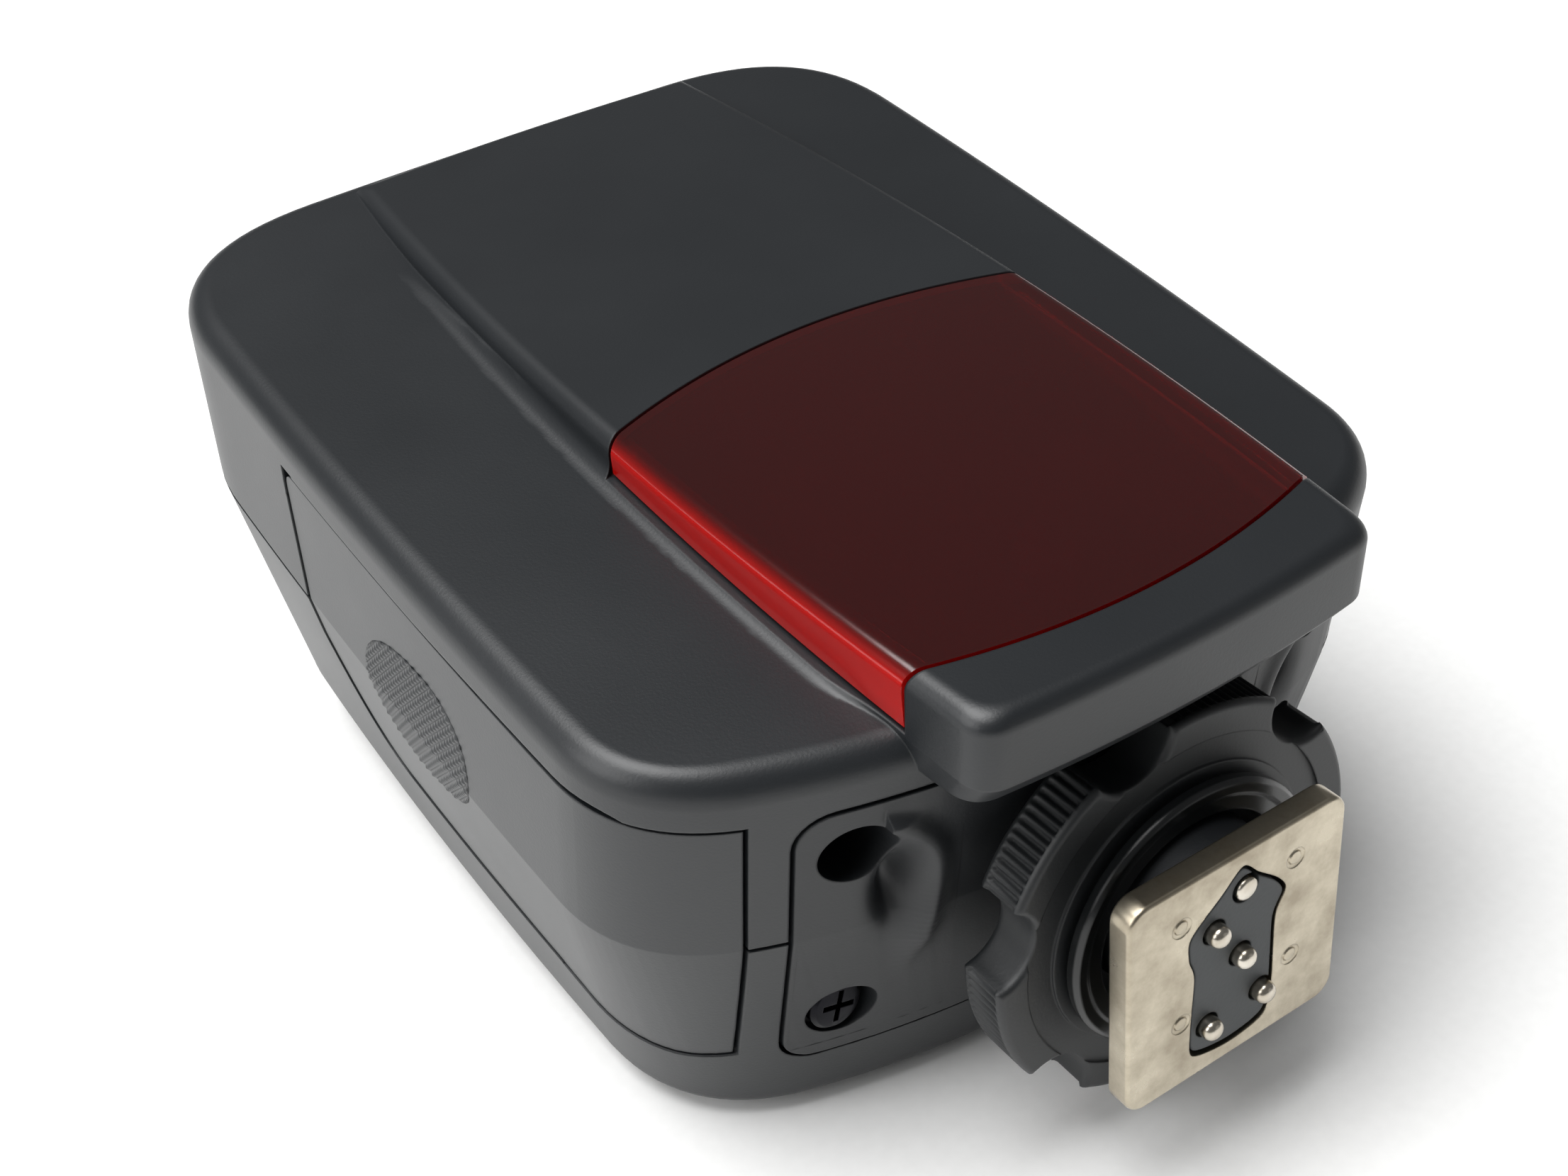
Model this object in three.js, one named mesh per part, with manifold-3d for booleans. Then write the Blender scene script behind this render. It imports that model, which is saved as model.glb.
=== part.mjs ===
// Wireless flash trigger: two AA cells, a display and keys on the rear, a metal hot shoe foot.
// It lies on its rear face. Millimetres, +X to the right, +Y away from the foot, +Z out of the front.
import * as THREE from 'three';
import { mergeVertices } from 'three/addons/utils/BufferGeometryUtils.js';
import Module from 'manifold-3d';

const wasm = await Module();
wasm.setup();

// ---- driving dimensions ----
const WIDTH = 66.2;            // casing, across the parting line
const LENGTH = 92.6;           // foot face to far end
const HEIGHT = 42.9;           // resting face to the front of the raised band
const WALL = 2;                // casing wall
const GAP = 0.3;               // clearance between neighbouring pieces
const AXIS = 2.2;              // the foot and the raised band sit this far right of the casing's middle
const FOOT_TILT = 4.2;         // degrees, foot against the rear face
const FOOT_HEIGHT = 19;        // foot axis above the resting face
const PARTING_NEAR = 21.6;     // height of the parting line at the foot end
const PARTING_SLOPE = 0.066;
const WING_NEAR = 37.9;        // height of the side wings at the foot end
const WING_SLOPE = 0.058;
const REAR_EDGE_NEAR = 1.9;    // height of the rear shell's lower edge at the foot end
const BAND_HALF = 18.3;        // raised band, half width at its waist
const BAND_BULGE = 2.1;        // how much narrower it is at its ends
const CELL_DIAMETER = 14.5;
const CELL_LENGTH = 50.5;
const FOOT_WIDTH = 18.6;       // hot shoe plate
const FOOT_DEPTH = 18.2;
const FOOT_THICKNESS = 1.9;
const RING_RADIUS = 15.3;
const RING_NOTCHES = 6;
const BOARD = 1.2;             // circuit board thickness

const FOOT_REACH = 1.36;       // how far the tilted plate and its pins pass the foot's axis point

const HALF = WIDTH / 2;
const FAR = (LENGTH + FOOT_REACH) / 2;
const Y_FOOT = FAR - LENGTH;
const WAIST = Y_FOOT + 62;     // where the casing is widest

// ---- materials ----
function material(color, roughness, metalness = 0) {
  return new THREE.MeshStandardMaterial({ color, roughness, metalness });
}
const blackPlastic = material(0x26282b, 0.55);
const blackGloss = material(0x101113, 0.25);
const redLens = material(0x7a0f0c, 0.15);
const keyPlastic = material(0x3a3c3f, 0.5);
const rubberBlack = material(0x2b2b2b, 0.8);
const nickel = material(0xb9b2a3, 0.35, 1);
const steel = material(0x9a9a98, 0.3, 1);
const brass = material(0xc9a455, 0.3, 1);
const boardGreen = material(0x1f4d33, 0.6);
const cellSleeve = material(0x33373c, 0.4);
const displayGlass = material(0x6f7a6c, 0.1);

const root = new THREE.Group();

// ---- solids ----
function toSolid(geometry) {
  const bare = geometry.index ? geometry.toNonIndexed() : geometry.clone();
  bare.deleteAttribute('normal');
  bare.deleteAttribute('uv');
  const merged = mergeVertices(bare, 1e-4);
  return new wasm.Manifold(new wasm.Mesh({
    numProp: 3,
    vertProperties: new Float32Array(merged.attributes.position.array),
    triVerts: new Uint32Array(merged.index.array),
  }));
}

function toGeometry(solid) {
  const mesh = solid.getMesh();
  const geometry = new THREE.BufferGeometry();
  geometry.setAttribute('position', new THREE.BufferAttribute(new Float32Array(mesh.vertProperties), 3));
  geometry.setIndex(new THREE.BufferAttribute(new Uint32Array(mesh.triVerts), 1));
  geometry.computeVertexNormals();
  return geometry;
}

function add(name, shape, finish, parent = root) {
  const geometry = shape.isBufferGeometry ? shape : toGeometry(shape);
  const mesh = new THREE.Mesh(geometry, finish);
  mesh.name = name;
  parent.add(mesh);
  return mesh;
}

function box(x0, x1, y0, y1, z0, z1) {
  const geometry = new THREE.BoxGeometry(x1 - x0, y1 - y0, z1 - z0);
  return geometry.translate((x0 + x1) / 2, (y0 + y1) / 2, (z0 + z1) / 2);
}

function boxSolid(...limits) {
  return toSolid(box(...limits));
}

// A cylinder along +Y from y0 to y1.
function rodY(radius, x, z, y0, y1, sides = 24) {
  const geometry = new THREE.CylinderGeometry(radius, radius, y1 - y0, sides);
  return geometry.translate(x, (y0 + y1) / 2, z);
}

// A cylinder along +Z from z0 to z1.
function rodZ(radius, x, y, z0, z1, sides = 24) {
  const geometry = new THREE.CylinderGeometry(radius, radius, z1 - z0, sides);
  return geometry.rotateX(Math.PI / 2).translate(x, y, (z0 + z1) / 2);
}

// A cylinder along +X from x0 to x1.
function rodX(radius, y, z, x0, x1, sides = 24) {
  const geometry = new THREE.CylinderGeometry(radius, radius, x1 - x0, sides);
  return geometry.rotateZ(Math.PI / 2).translate((x0 + x1) / 2, y, z);
}

// Rounded rectangle in the XY plane, centred on x, y.
function roundedRect(width, height, radius, x = 0, y = 0) {
  const shape = new THREE.Shape();
  const w = width / 2;
  const h = height / 2;
  shape.moveTo(x + w, y - h + radius);
  shape.lineTo(x + w, y + h - radius);
  shape.absarc(x + w - radius, y + h - radius, radius, 0, Math.PI / 2);
  shape.absarc(x - w + radius, y + h - radius, radius, Math.PI / 2, Math.PI);
  shape.absarc(x - w + radius, y - h + radius, radius, Math.PI, 1.5 * Math.PI);
  shape.absarc(x + w - radius, y - h + radius, radius, 1.5 * Math.PI, 2 * Math.PI);
  return shape;
}

// A plate of the given outline from z0 up to z1.
function plateZ(shape, z0, z1, curveSegments = 5) {
  const geometry = new THREE.ExtrudeGeometry(shape, { depth: z1 - z0, bevelEnabled: false, curveSegments });
  return geometry.translate(0, 0, z0);
}

// A plate whose outline is drawn in X and Z, from y0 to y1.
function plateY(shape, y0, y1, curveSegments = 5) {
  const geometry = new THREE.ExtrudeGeometry(shape, { depth: y1 - y0, bevelEnabled: false, curveSegments });
  return geometry.rotateX(Math.PI / 2).translate(0, y1, 0);
}

// Casing outline seen from the front: four slightly bowed sides with rounded corners.
// wide is the half width at the waist, and each bow is how far that side bends by its ends.
function casingOutline({ wide, near, far, bow, nearBow, farBow, nearRadius, farRadius }) {
  const side = (y) => wide - bow * ((y - WAIST) / 42) ** 2;
  const nearY = (x) => near + nearBow * ((x - AXIS) / HALF) ** 2;
  const farY = (x) => far - farBow * (x / HALF) ** 2;
  const shape = new THREE.Shape();
  // A parabola through both ends and the middle point of a side.
  const bowed = (start, middle, end) => {
    const control = middle.clone().multiplyScalar(2).addScaledVector(start, -0.5).addScaledVector(end, -0.5);
    shape.quadraticCurveTo(control.x, control.y, end.x, end.y);
  };
  const onSide = (sign, y) => new THREE.Vector2(sign * side(y), y);
  const onNear = (x) => new THREE.Vector2(x, nearY(x));
  const onFar = (x) => new THREE.Vector2(x, farY(x));
  const reach = wide - bow;
  const nearTurn = (sign) => nearY(sign * reach);
  const farTurn = farY(reach);
  const start = onNear(-reach + nearRadius);
  shape.moveTo(start.x, start.y);
  bowed(start, onNear(0), onNear(reach - nearRadius));
  const right = [onSide(1, nearTurn(1) + nearRadius), onSide(1, farTurn - farRadius)];
  shape.quadraticCurveTo(reach, nearTurn(1), right[0].x, right[0].y);
  bowed(right[0], onSide(1, (right[0].y + right[1].y) / 2), right[1]);
  shape.quadraticCurveTo(right[1].x, farTurn, reach - farRadius, farY(reach - farRadius));
  bowed(onFar(reach - farRadius), onFar(0), onFar(farRadius - reach));
  const left = [onSide(-1, farTurn - farRadius), onSide(-1, nearTurn(-1) + nearRadius)];
  shape.quadraticCurveTo(left[0].x, farTurn, left[0].x, left[0].y);
  bowed(left[0], onSide(-1, (left[0].y + left[1].y) / 2), left[1]);
  shape.quadraticCurveTo(-reach, nearTurn(-1), start.x, start.y);
  return shape.getPoints(6).slice(0, -1);
}

// A closed skin over outlines with equal point counts; each level gives its own height at y.
function loft(levels) {
  const rings = levels.map(({ outline, height }) => {
    return outline.map((p) => new THREE.Vector3(p.x, p.y, height(p.y)));
  });
  const count = rings[0].length;
  const points = rings.flat();
  const faces = [];
  for (let k = 0; k < rings.length - 1; k++) {
    for (let i = 0; i < count; i++) {
      const a = k * count + i;
      const b = k * count + ((i + 1) % count);
      faces.push([a, b, b + count], [a, b + count, a + count]);
    }
  }
  const top = (rings.length - 1) * count;
  for (const [a, b, c] of THREE.ShapeUtils.triangulateShape(levels[0].outline, [])) {
    faces.push([c, b, a]);
  }
  for (const [a, b, c] of THREE.ShapeUtils.triangulateShape(levels.at(-1).outline, [])) {
    faces.push([top + a, top + b, top + c]);
  }
  const geometry = new THREE.BufferGeometry();
  const flat = faces.flat().flatMap((i) => [points[i].x, points[i].y, points[i].z]);
  geometry.setAttribute('position', new THREE.BufferAttribute(new Float32Array(flat), 3));
  return geometry;
}

// ---- casing surfaces ----
const nearEnd = Y_FOOT + 16;
const partingHeight = (y) => PARTING_NEAR + PARTING_SLOPE * (y - nearEnd);
const wingHeight = (y) => Math.min(WING_NEAR + WING_SLOPE * (y - nearEnd), HEIGHT - 0.5);
const rearEdgeHeight = (y) => REAR_EDGE_NEAR + PARTING_SLOPE * (y - nearEnd);

// The casing's outline at the parting line, under the wing edge and at the rear edge, shrunk by inset.
function partingOutline(inset) {
  return casingOutline({
    wide: HALF - inset, near: Y_FOOT + 12 + inset, far: FAR - inset,
    bow: 1.2, nearBow: 8.2, farBow: 1, nearRadius: 7 - inset, farRadius: 14 - inset,
  });
}
function wingOutline(inset) {
  return casingOutline({
    wide: HALF - 0.3 - inset, near: Y_FOOT + 10.6 + inset, far: FAR - 0.3 - inset,
    bow: 1.2, nearBow: 8.2, farBow: 1, nearRadius: 7 - inset, farRadius: 14 - inset,
  });
}
function rearOutline(inset) {
  return casingOutline({
    wide: HALF - 3 - inset, near: Y_FOOT + 15.5 + inset, far: FAR - 3.5 - inset,
    bow: 1.8, nearBow: 7.7, farBow: 1, nearRadius: 8 - inset, farRadius: 12 - inset,
  });
}

function upperBody(inset, bottomDrop) {
  return toSolid(loft([
    { outline: partingOutline(inset), height: (y) => partingHeight(y) - bottomDrop },
    { outline: wingOutline(inset), height: (y) => wingHeight(y) - 1.8 - inset },
    { outline: wingOutline(inset + 0.6), height: (y) => wingHeight(y) - 0.6 - inset },
    { outline: wingOutline(inset + 1.8), height: (y) => wingHeight(y) - inset },
  ]));
}

function lowerBody(inset, topRise) {
  return toSolid(loft([
    { outline: rearOutline(inset + 1.5), height: (y) => rearEdgeHeight(y) + inset - 1 },
    { outline: rearOutline(inset), height: (y) => rearEdgeHeight(y) + 0.5 + inset * 0.6 },
    { outline: partingOutline(inset), height: (y) => partingHeight(y) + topRise },
  ]));
}

// Raised band along the middle of the front, with the bumper at its foot end.
const bandNear = Y_FOOT + 6.6;
const bandFar = FAR - 2.6;
function bandOutline(inset, frontInset = inset) {
  const near = bandNear + frontInset;
  const far = bandFar - inset;
  const middle = (near + far) / 2;
  const half = BAND_HALF - inset;
  const end = half - BAND_BULGE;
  const shape = new THREE.Shape();
  const corner = 2.2;
  shape.moveTo(-end + corner, near);
  shape.quadraticCurveTo(0, near - 1.4, end - corner, near);
  shape.quadraticCurveTo(end - 0.3, near + 0.2, end, near + corner);
  shape.quadraticCurveTo(half + BAND_BULGE, middle, end, far);
  shape.quadraticCurveTo(0, far + 1, -end, far);
  shape.quadraticCurveTo(-half - BAND_BULGE, middle, -end, near + corner);
  shape.quadraticCurveTo(-end + 0.3, near + 0.2, -end + corner, near);
  return shape.getPoints(8).slice(0, -1).map((p) => new THREE.Vector2(p.x + AXIS, p.y));
}

function band(inset, bottom) {
  return toSolid(loft([
    { outline: bandOutline(inset + 0.2, inset + 1.2), height: () => bottom },
    { outline: bandOutline(inset), height: () => HEIGHT - 1.2 - inset },
    { outline: bandOutline(inset + 0.4), height: () => HEIGHT - 0.4 - inset },
    { outline: bandOutline(inset + 1.2), height: () => HEIGHT - inset },
  ]));
}
const bumperBottom = HEIGHT - 7.4;

// The stretch of the band taken up by the red window: it ends in two arcs bowed outwards.
function windowRegion(gap) {
  const near = Y_FOOT + 13.6 - gap;
  const far = Y_FOOT + 45 + gap;
  const reach = BAND_HALF + 2;
  const shape = new THREE.Shape();
  shape.moveTo(-reach, near + 1.2);
  shape.quadraticCurveTo(0, near - 6.6, reach, near + 1.2);
  shape.lineTo(reach, far - 1);
  shape.quadraticCurveTo(0, far + 8.2, -reach, far - 1);
  shape.lineTo(-reach, near + 1.2);
  const outline = shape.getPoints(10).slice(0, -1).map((p) => new THREE.Vector2(p.x + AXIS, p.y));
  return toSolid(loft([
    { outline, height: (y) => wingHeight(y) + 0.5 - gap },
    { outline, height: () => HEIGHT + 5 },
  ]));
}

// ---- hot shoe frame: +Y runs from the foot's outer face into the casing ----
const shoe = new THREE.Group();
shoe.position.set(AXIS, Y_FOOT, FOOT_HEIGHT);
shoe.rotation.x = -THREE.MathUtils.degToRad(FOOT_TILT);
root.add(shoe);
shoe.updateMatrix();
function inShoe(geometry) {
  return toSolid(geometry.applyMatrix4(shoe.matrix));
}

const bracketWidth = 47.4;
const bracketTop = 15.4;
const bracketBottom = -10.6;
const bracketMiddle = (bracketTop + bracketBottom) / 2;
function bracketShape(grow) {
  const tall = bracketTop - bracketBottom + 2 * grow;
  return roundedRect(bracketWidth + 2 * grow, tall, 2.5 + grow, 0, bracketMiddle);
}

// ---- casing shells ----
const skin = (inset) => upperBody(inset, 3).add(lowerBody(inset, 3));
const upperOuter = upperBody(0, -GAP / 2).add(band(0, bumperBottom));
const lowerOuter = lowerBody(0, -GAP / 2);
const upperCavity = upperBody(WALL, 6);
const bandCavity = band(WALL, PARTING_NEAR).intersect(boxSolid(-HALF, HALF, Y_FOOT + 15, FAR, 0, HEIGHT));

// The bracket closes an opening in the foot end of both shells.
const bracketOpening = inShoe(plateY(bracketShape(GAP), 2, 34)).subtract(skin(WALL + 1.4));

// The battery door wraps from the left side round the corner to the foot end.
const DOOR_FAR = Y_FOOT + 64.5;
const DOOR_EDGE = -24.4;
const doorTop = (y) => 34.3 + PARTING_SLOPE * (y - Y_FOOT - 25);
const doorLow = (y) => 7.8 + 0.074 * (y - Y_FOOT - 4);

// The door turns on a steel pin inside its front edge, and the pin slides along its own axis
// through two lugs of the front shell.
const doorSlide = 4;
const pinRadius = 0.4;
const pinDepth = 1.3;          // pin's axis below the door's front edge, and inside its outer face
const hinge = new THREE.Group();
const hingeX = -32.75 + pinDepth;
const hingeY = Y_FOOT + 49;
hinge.position.set(hingeX, hingeY, doorTop(hingeY) - pinDepth);
hinge.rotation.x = Math.atan(PARTING_SLOPE);
root.add(hinge);
hinge.updateMatrix();
const inHinge = (geometry) => toSolid(geometry.applyMatrix4(hinge.matrix));

// Round the corner the door's low edge is a surface turned about the pin, so that it swings clear.
function cornerEdge(gap) {
  const corner = toSolid(new THREE.CylinderGeometry(23.65 + gap, 24.8 + gap, 11, 96).translate(0, -22.5, 0));
  const wrap = toSolid(rodY(24.8 + gap, 0, 0, -44, -27.95, 96));
  const lowHalf = boxSolid(-4, DOOR_EDGE + gap - hingeX, -44, -17, -27, -18);
  const turned = toGeometry(corner.add(wrap).intersect(lowHalf));
  return inHinge(turned);
}
function doorRegion(gap) {
  const shape = new THREE.Shape();
  const near = Y_FOOT + 4;
  const far = DOOR_FAR + gap;
  shape.moveTo(near, doorLow(near) - gap);
  shape.lineTo(far - 9, doorLow(far - 9) - gap);
  shape.quadraticCurveTo(far - 3, doorLow(far - 3) - gap, far, 21);
  shape.lineTo(far, doorTop(far) + gap - 1.5);
  shape.quadraticCurveTo(far, doorTop(far) + gap, far - 1.5, doorTop(far - 1.5) + gap);
  shape.lineTo(near, doorTop(near) + gap);
  shape.lineTo(near, doorLow(near) - gap);
  const slab = new THREE.ExtrudeGeometry(shape, { depth: HALF, bevelEnabled: false, curveSegments: 5 });
  slab.applyMatrix4(new THREE.Matrix4().makeBasis(
    new THREE.Vector3(0, 1, 0), new THREE.Vector3(0, 0, 1), new THREE.Vector3(1, 0, 0)));
  slab.translate(-HALF - 8, 0, 0);
  const limits = boxSolid(-HALF - 8, DOOR_EDGE + gap, near - 5, FAR, 0, HEIGHT);
  return toSolid(slab).add(cornerEdge(gap)).intersect(limits);
}

// Each lug is an eye on a short arm, hung from a web inside the shell's wall. The relief round the
// pin is as long as the door's opening.
const lugSpans = [[-13, -11], [8.3, 10.3]];
const lugRadius = 0.84;
const boreRadius = 0.55;
const reliefRadius = 1.86;
const reliefFar = DOOR_FAR + GAP / 2 - hingeY;
const hingeRelief = inHinge(rodY(reliefRadius, 0, 0, -42, reliefFar, 20));
const pinBore = inHinge(rodY(boreRadius, 0, 0, -18, 16, 12));
function hingeLug([start, end]) {
  const arm = inHinge(box(0, 2.4, start, end, -0.8, 0.4));
  const web = inHinge(box(1.95, 2.85, start, end, -0.8, 4));
  return inHinge(rodY(lugRadius, 0, 0, start, end, 16)).add(arm).add(web).subtract(pinBore);
}

const jackY = Y_FOOT + 58;
const jackZ = 30;
const jackHole = 3.3;
const caseScrews = [[-9.5, 21.2], [21, 22.8], [-21, 83], [21, 83]].map(([x, y]) => [x, Y_FOOT + y]);
const doorOpening = doorRegion(GAP / 2);
const windowCut = windowRegion(GAP / 2).intersect(band(-0.5, bumperBottom));
add('front_shell', upperOuter
  .subtract(upperCavity)
  .subtract(bandCavity)
  .subtract(windowCut)
  .subtract(doorOpening)
  .subtract(hingeRelief)
  .add(hingeLug(lugSpans[0]))
  .add(hingeLug(lugSpans[1]))
  .subtract(toSolid(rodX(jackHole, jackY, jackZ, 28, HALF + 1)))
  .subtract(bracketOpening), blackPlastic);

add('signal_window', band(0, bumperBottom)
  .subtract(band(WALL, bumperBottom - 1))
  .intersect(windowRegion(-GAP / 2)), redLens);

// ---- rear shell: its console carries the display and the keys, and is the face it rests on ----
const consoleNear = Y_FOOT + 25;
const consoleFar = Y_FOOT + 86.5;
const consoleMid = (consoleNear + consoleFar) / 2;
const displayY = Y_FOOT + 64;
const displayWide = 43;
const displayTall = 25.4;
const keyRowY = Y_FOOT + 47;
const keyX = [-16.5, -5.5, 5.5, 16.5];
const keySize = [8, 4];
const padY = Y_FOOT + 35;
const padRadius = 7.4;
const okRadius = 2.8;
const testX = 17.5;
const testRadius = 3.4;
const lightX = 17.5;
const lightY = padY + 6.2;
const switchX = -17;
const keyGap = 0.35;           // clearance round each key
const keyHole = [keySize[0] + 2 * keyGap, keySize[1] + 2 * keyGap, 1.3];
const headHole = 2.5;          // counterbore for a screw's head
const shankHole = 1.4;
const rearCuts = [
  plateZ(roundedRect(displayWide + 0.6, displayTall + 0.6, 2, 0, displayY), -1, 12),
  rodZ(padRadius + keyGap, 0, padY, -1, 12, 32),
  rodZ(testRadius + keyGap, testX, padY, -1, 12, 20),
  rodZ(1.2, lightX, lightY, -1, 12, 12),
  box(switchX - 5.4, switchX + 5.4, padY - 2.3, padY + 2.3, -1, 12),
  ...keyX.map((x) => plateZ(roundedRect(...keyHole, x, keyRowY), -1, 12, 3)),
  ...caseScrews.map(([x, y]) => rodZ(headHole, x, y, -1, 4.6, 16)),
  ...caseScrews.map(([x, y]) => rodZ(shankHole, x, y, 4, 12, 12)),
];
let rearShell = lowerOuter
  .add(toSolid(plateZ(roundedRect(50, consoleFar - consoleNear, 5, 0, consoleMid), 0, 7)))
  .subtract(lowerBody(WALL, 6).subtract(boxSolid(-HALF, HALF, Y_FOOT, FAR, -5, 3.4)))
  .subtract(doorOpening)
  .subtract(bracketOpening);
for (const cut of rearCuts) {
  rearShell = rearShell.subtract(toSolid(cut));
}
add('rear_shell', rearShell, blackPlastic);

// ---- battery door: a thin shell that follows the casing's skin, notched where it passes the lugs ----
let door = skin(0.1).subtract(skin(WALL - 0.2)).intersect(doorRegion(-GAP / 2));
for (const [u0, u1] of lugSpans) {
  door = door.subtract(inHinge(box(-0.92, 4, u0 - 0.3, u1 + doorSlide + 0.3, -1.15, 3)));
}
const knuckleRadius = 0.95;
const knuckleSpan = [lugSpans[0][1] + doorSlide + 0.5, lugSpans[1][0] - 0.4];
const knuckle = inHinge(rodY(knuckleRadius, 0, 0, ...knuckleSpan, 16));
add('battery_door', door.add(knuckle).subtract(pinBore), blackPlastic);
add('door_hinge_pin', rodY(pinRadius, 0, 0, -12.8, 14.4, 12), steel, hinge);

// ---- battery bay: the cells lie side by side, tilted with the parting line ----
const bay = new THREE.Group();
bay.position.set(-21.5, Y_FOOT + 26.4, 21);
bay.rotation.x = 0.06;
root.add(bay);
const cellOffset = CELL_DIAMETER / 2 + 0.2;
const cellShift = 0.6;           // the lower cell sits further in, where the casing narrows
const bayEnd = 53;

// The tray is a back wall and two end walls, open towards the door.
const trayWall = 1.2;
const trayNear = -3.2;
const trayLow = -13.6;
const trayHigh = 14;
function trayShape() {
  const back = boxSolid(8.1, 9.1, trayNear, bayEnd + trayWall, trayLow, trayHigh);
  const nearWall = boxSolid(-3, 8.4, trayNear, trayNear + trayWall, trayLow, trayHigh);
  const farWall = boxSolid(-4.5, 8.4, bayEnd, bayEnd + trayWall, trayLow, trayHigh);
  return back.add(nearWall).add(farWall);
}
add('battery_tray', trayShape(), blackPlastic, bay);

// A cell: a plain can with its button at the +Y end.
function cellGeometry() {
  const radius = CELL_DIAMETER / 2;
  const button = 2.75;
  const tip = CELL_LENGTH + 1.2;
  const can = [[0, 0], [6.6, 0], [radius, 0.6], [radius, CELL_LENGTH - 0.6], [6.8, CELL_LENGTH]];
  const profile = [...can, [button, CELL_LENGTH], [button, tip], [0, tip]];
  return new THREE.LatheGeometry(profile.map(([r, y]) => new THREE.Vector2(r, y)), 24);
}
const upperCell = add('battery_cell_upper', cellGeometry(), cellSleeve, bay);
upperCell.position.set(-cellShift, 0.3, cellOffset);
const lowerCell = add('battery_cell_lower', cellGeometry(), cellSleeve, bay);
lowerCell.position.set(cellShift, CELL_LENGTH + 0.5, -cellOffset);
lowerCell.rotation.x = Math.PI;

// A flat conical coil of spring wire, widening towards +Y.
class CoilPath extends THREE.Curve {
  getPoint(t) {
    const turn = t * 5 * Math.PI;
    const radius = 1.6 + 2.6 * t;
    return new THREE.Vector3(radius * Math.cos(turn), 0.9 * t, radius * Math.sin(turn));
  }
}
function coilGeometry() {
  const wire = new THREE.Shape();
  wire.absarc(0, 0, 0.28, 0, 2 * Math.PI);
  return new THREE.ExtrudeGeometry(wire, { steps: 30, extrudePath: new CoilPath(), curveSegments: 4 });
}
const contactPlate = (halfTall, z, y) => box(-4.5, 4.5, y, y + 0.4, z - halfTall, z + halfTall);
add('contact_bridge', contactPlate(12.5, 0, -1.7), brass, bay);
add('contact_plate_plus', contactPlate(5, cellOffset, bayEnd - 0.7), brass, bay);
add('contact_plate_minus', contactPlate(5, -cellOffset, bayEnd - 0.7), brass, bay);
const springNear = add('contact_spring_near', coilGeometry(), steel, bay);
springNear.position.set(0, -0.35, cellOffset);
springNear.scale.y = 0.35;
const springFar = add('contact_spring_far', coilGeometry(), steel, bay);
springFar.position.set(0, bayEnd - 1.05, -cellOffset);
springFar.rotation.x = Math.PI;
springFar.scale.y = 0.35;

// ---- electronics ----
const mainBoardZ = 20;
const controlBoardZ = 9;
const boardNear = Y_FOOT + 27;
add('main_board', box(-12, 28.5, boardNear, Y_FOOT + 81, mainBoardZ, mainBoardZ + BOARD), boardGreen);
add('control_board', box(-12, 26, boardNear, Y_FOOT + 80, controlBoardZ, controlBoardZ + BOARD), boardGreen);
add('radio_module', box(6, 22, Y_FOOT + 62, Y_FOOT + 80, mainBoardZ + 1.6, mainBoardZ + 4.6), nickel);
add('antenna', box(-8, 24, Y_FOOT + 86.5, Y_FOOT + 87, 22, 30), brass);
const keypadLimits = [-21, 22.4, Y_FOOT + 26.5, Y_FOOT + 50.2, 5.7, 6.2];
add('keypad_membrane', box(...keypadLimits), rubberBlack);
const displayFrame = roundedRect(displayWide - 1, displayTall - 1, 1, 0, displayY);
add('display_module', plateZ(displayFrame, 1.9, 5.2, 3), displayGlass);
add('display_window', plateZ(roundedRect(displayWide, displayTall, 1.7, 0, displayY), 0.4, 1.6), blackGloss);

const lampX = [AXIS - 7, AXIS + 7];
const lampY = Y_FOOT + 28;
let lampHolder = boxSolid(AXIS - 13, AXIS + 13, lampY - 6, lampY + 6, 27, 28.6);
for (const x of lampX) {
  lampHolder = lampHolder.subtract(toSolid(rodZ(2.8, x, lampY, 26, 30, 20)));
}
add('lamp_holder', lampHolder, blackPlastic);
const lampProfile = [[0, 0], [2.5, 0], [2.5, 6.2], [2.1, 7.6], [1.2, 8.5], [0, 8.8]];
['focus_lamp_left', 'focus_lamp_right'].forEach((name, i) => {
  const lamp = new THREE.LatheGeometry(lampProfile.map(([r, y]) => new THREE.Vector2(r, y)), 16);
  add(name, lamp.rotateX(Math.PI / 2).translate(lampX[i], lampY, 24.6), redLens);
});

const jackBody = toSolid(rodX(jackHole - GAP, jackY, jackZ, 23, HALF - 0.2, 20));
const jackBore = toSolid(rodX(1.3, jackY, jackZ, 25, HALF + 1, 32));
add('remote_jack', jackBody.subtract(jackBore), blackGloss);

// ---- keys: each stands 0.5 mm inside the console's face ----
const keyTip = 0.5;
const keyTop = 5.2;
keyX.forEach((x, i) => {
  add(`function_key_${i + 1}`, plateZ(roundedRect(...keySize, 1, x, keyRowY), keyTip, keyTop, 3), keyPlastic);
});
const padDisc = toSolid(rodZ(padRadius, 0, padY, keyTip, keyTop, 32));
const padHole = toSolid(rodZ(okRadius + keyGap, 0, padY, 0, 8, 20));
add('direction_pad', padDisc.subtract(padHole), keyPlastic);
add('ok_key', rodZ(okRadius, 0, padY, keyTip, keyTop, 20), keyPlastic);
add('test_button', rodZ(testRadius, testX, padY, keyTip, keyTop, 20), keyPlastic);
add('status_light', rodZ(0.9, lightX, lightY, keyTip, keyTop, 12), redLens);
const switchRest = switchX - 2.6;
const sliderBase = boxSolid(switchRest - 2.2, switchRest + 2.2, padY - 2, padY + 2, 1.5, 5.4);
const sliderGrip = boxSolid(switchRest - 0.8, switchRest + 0.8, padY - 2, padY + 2, keyTip, 1.6);
add('power_switch', sliderBase.add(sliderGrip), keyPlastic);

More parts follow.
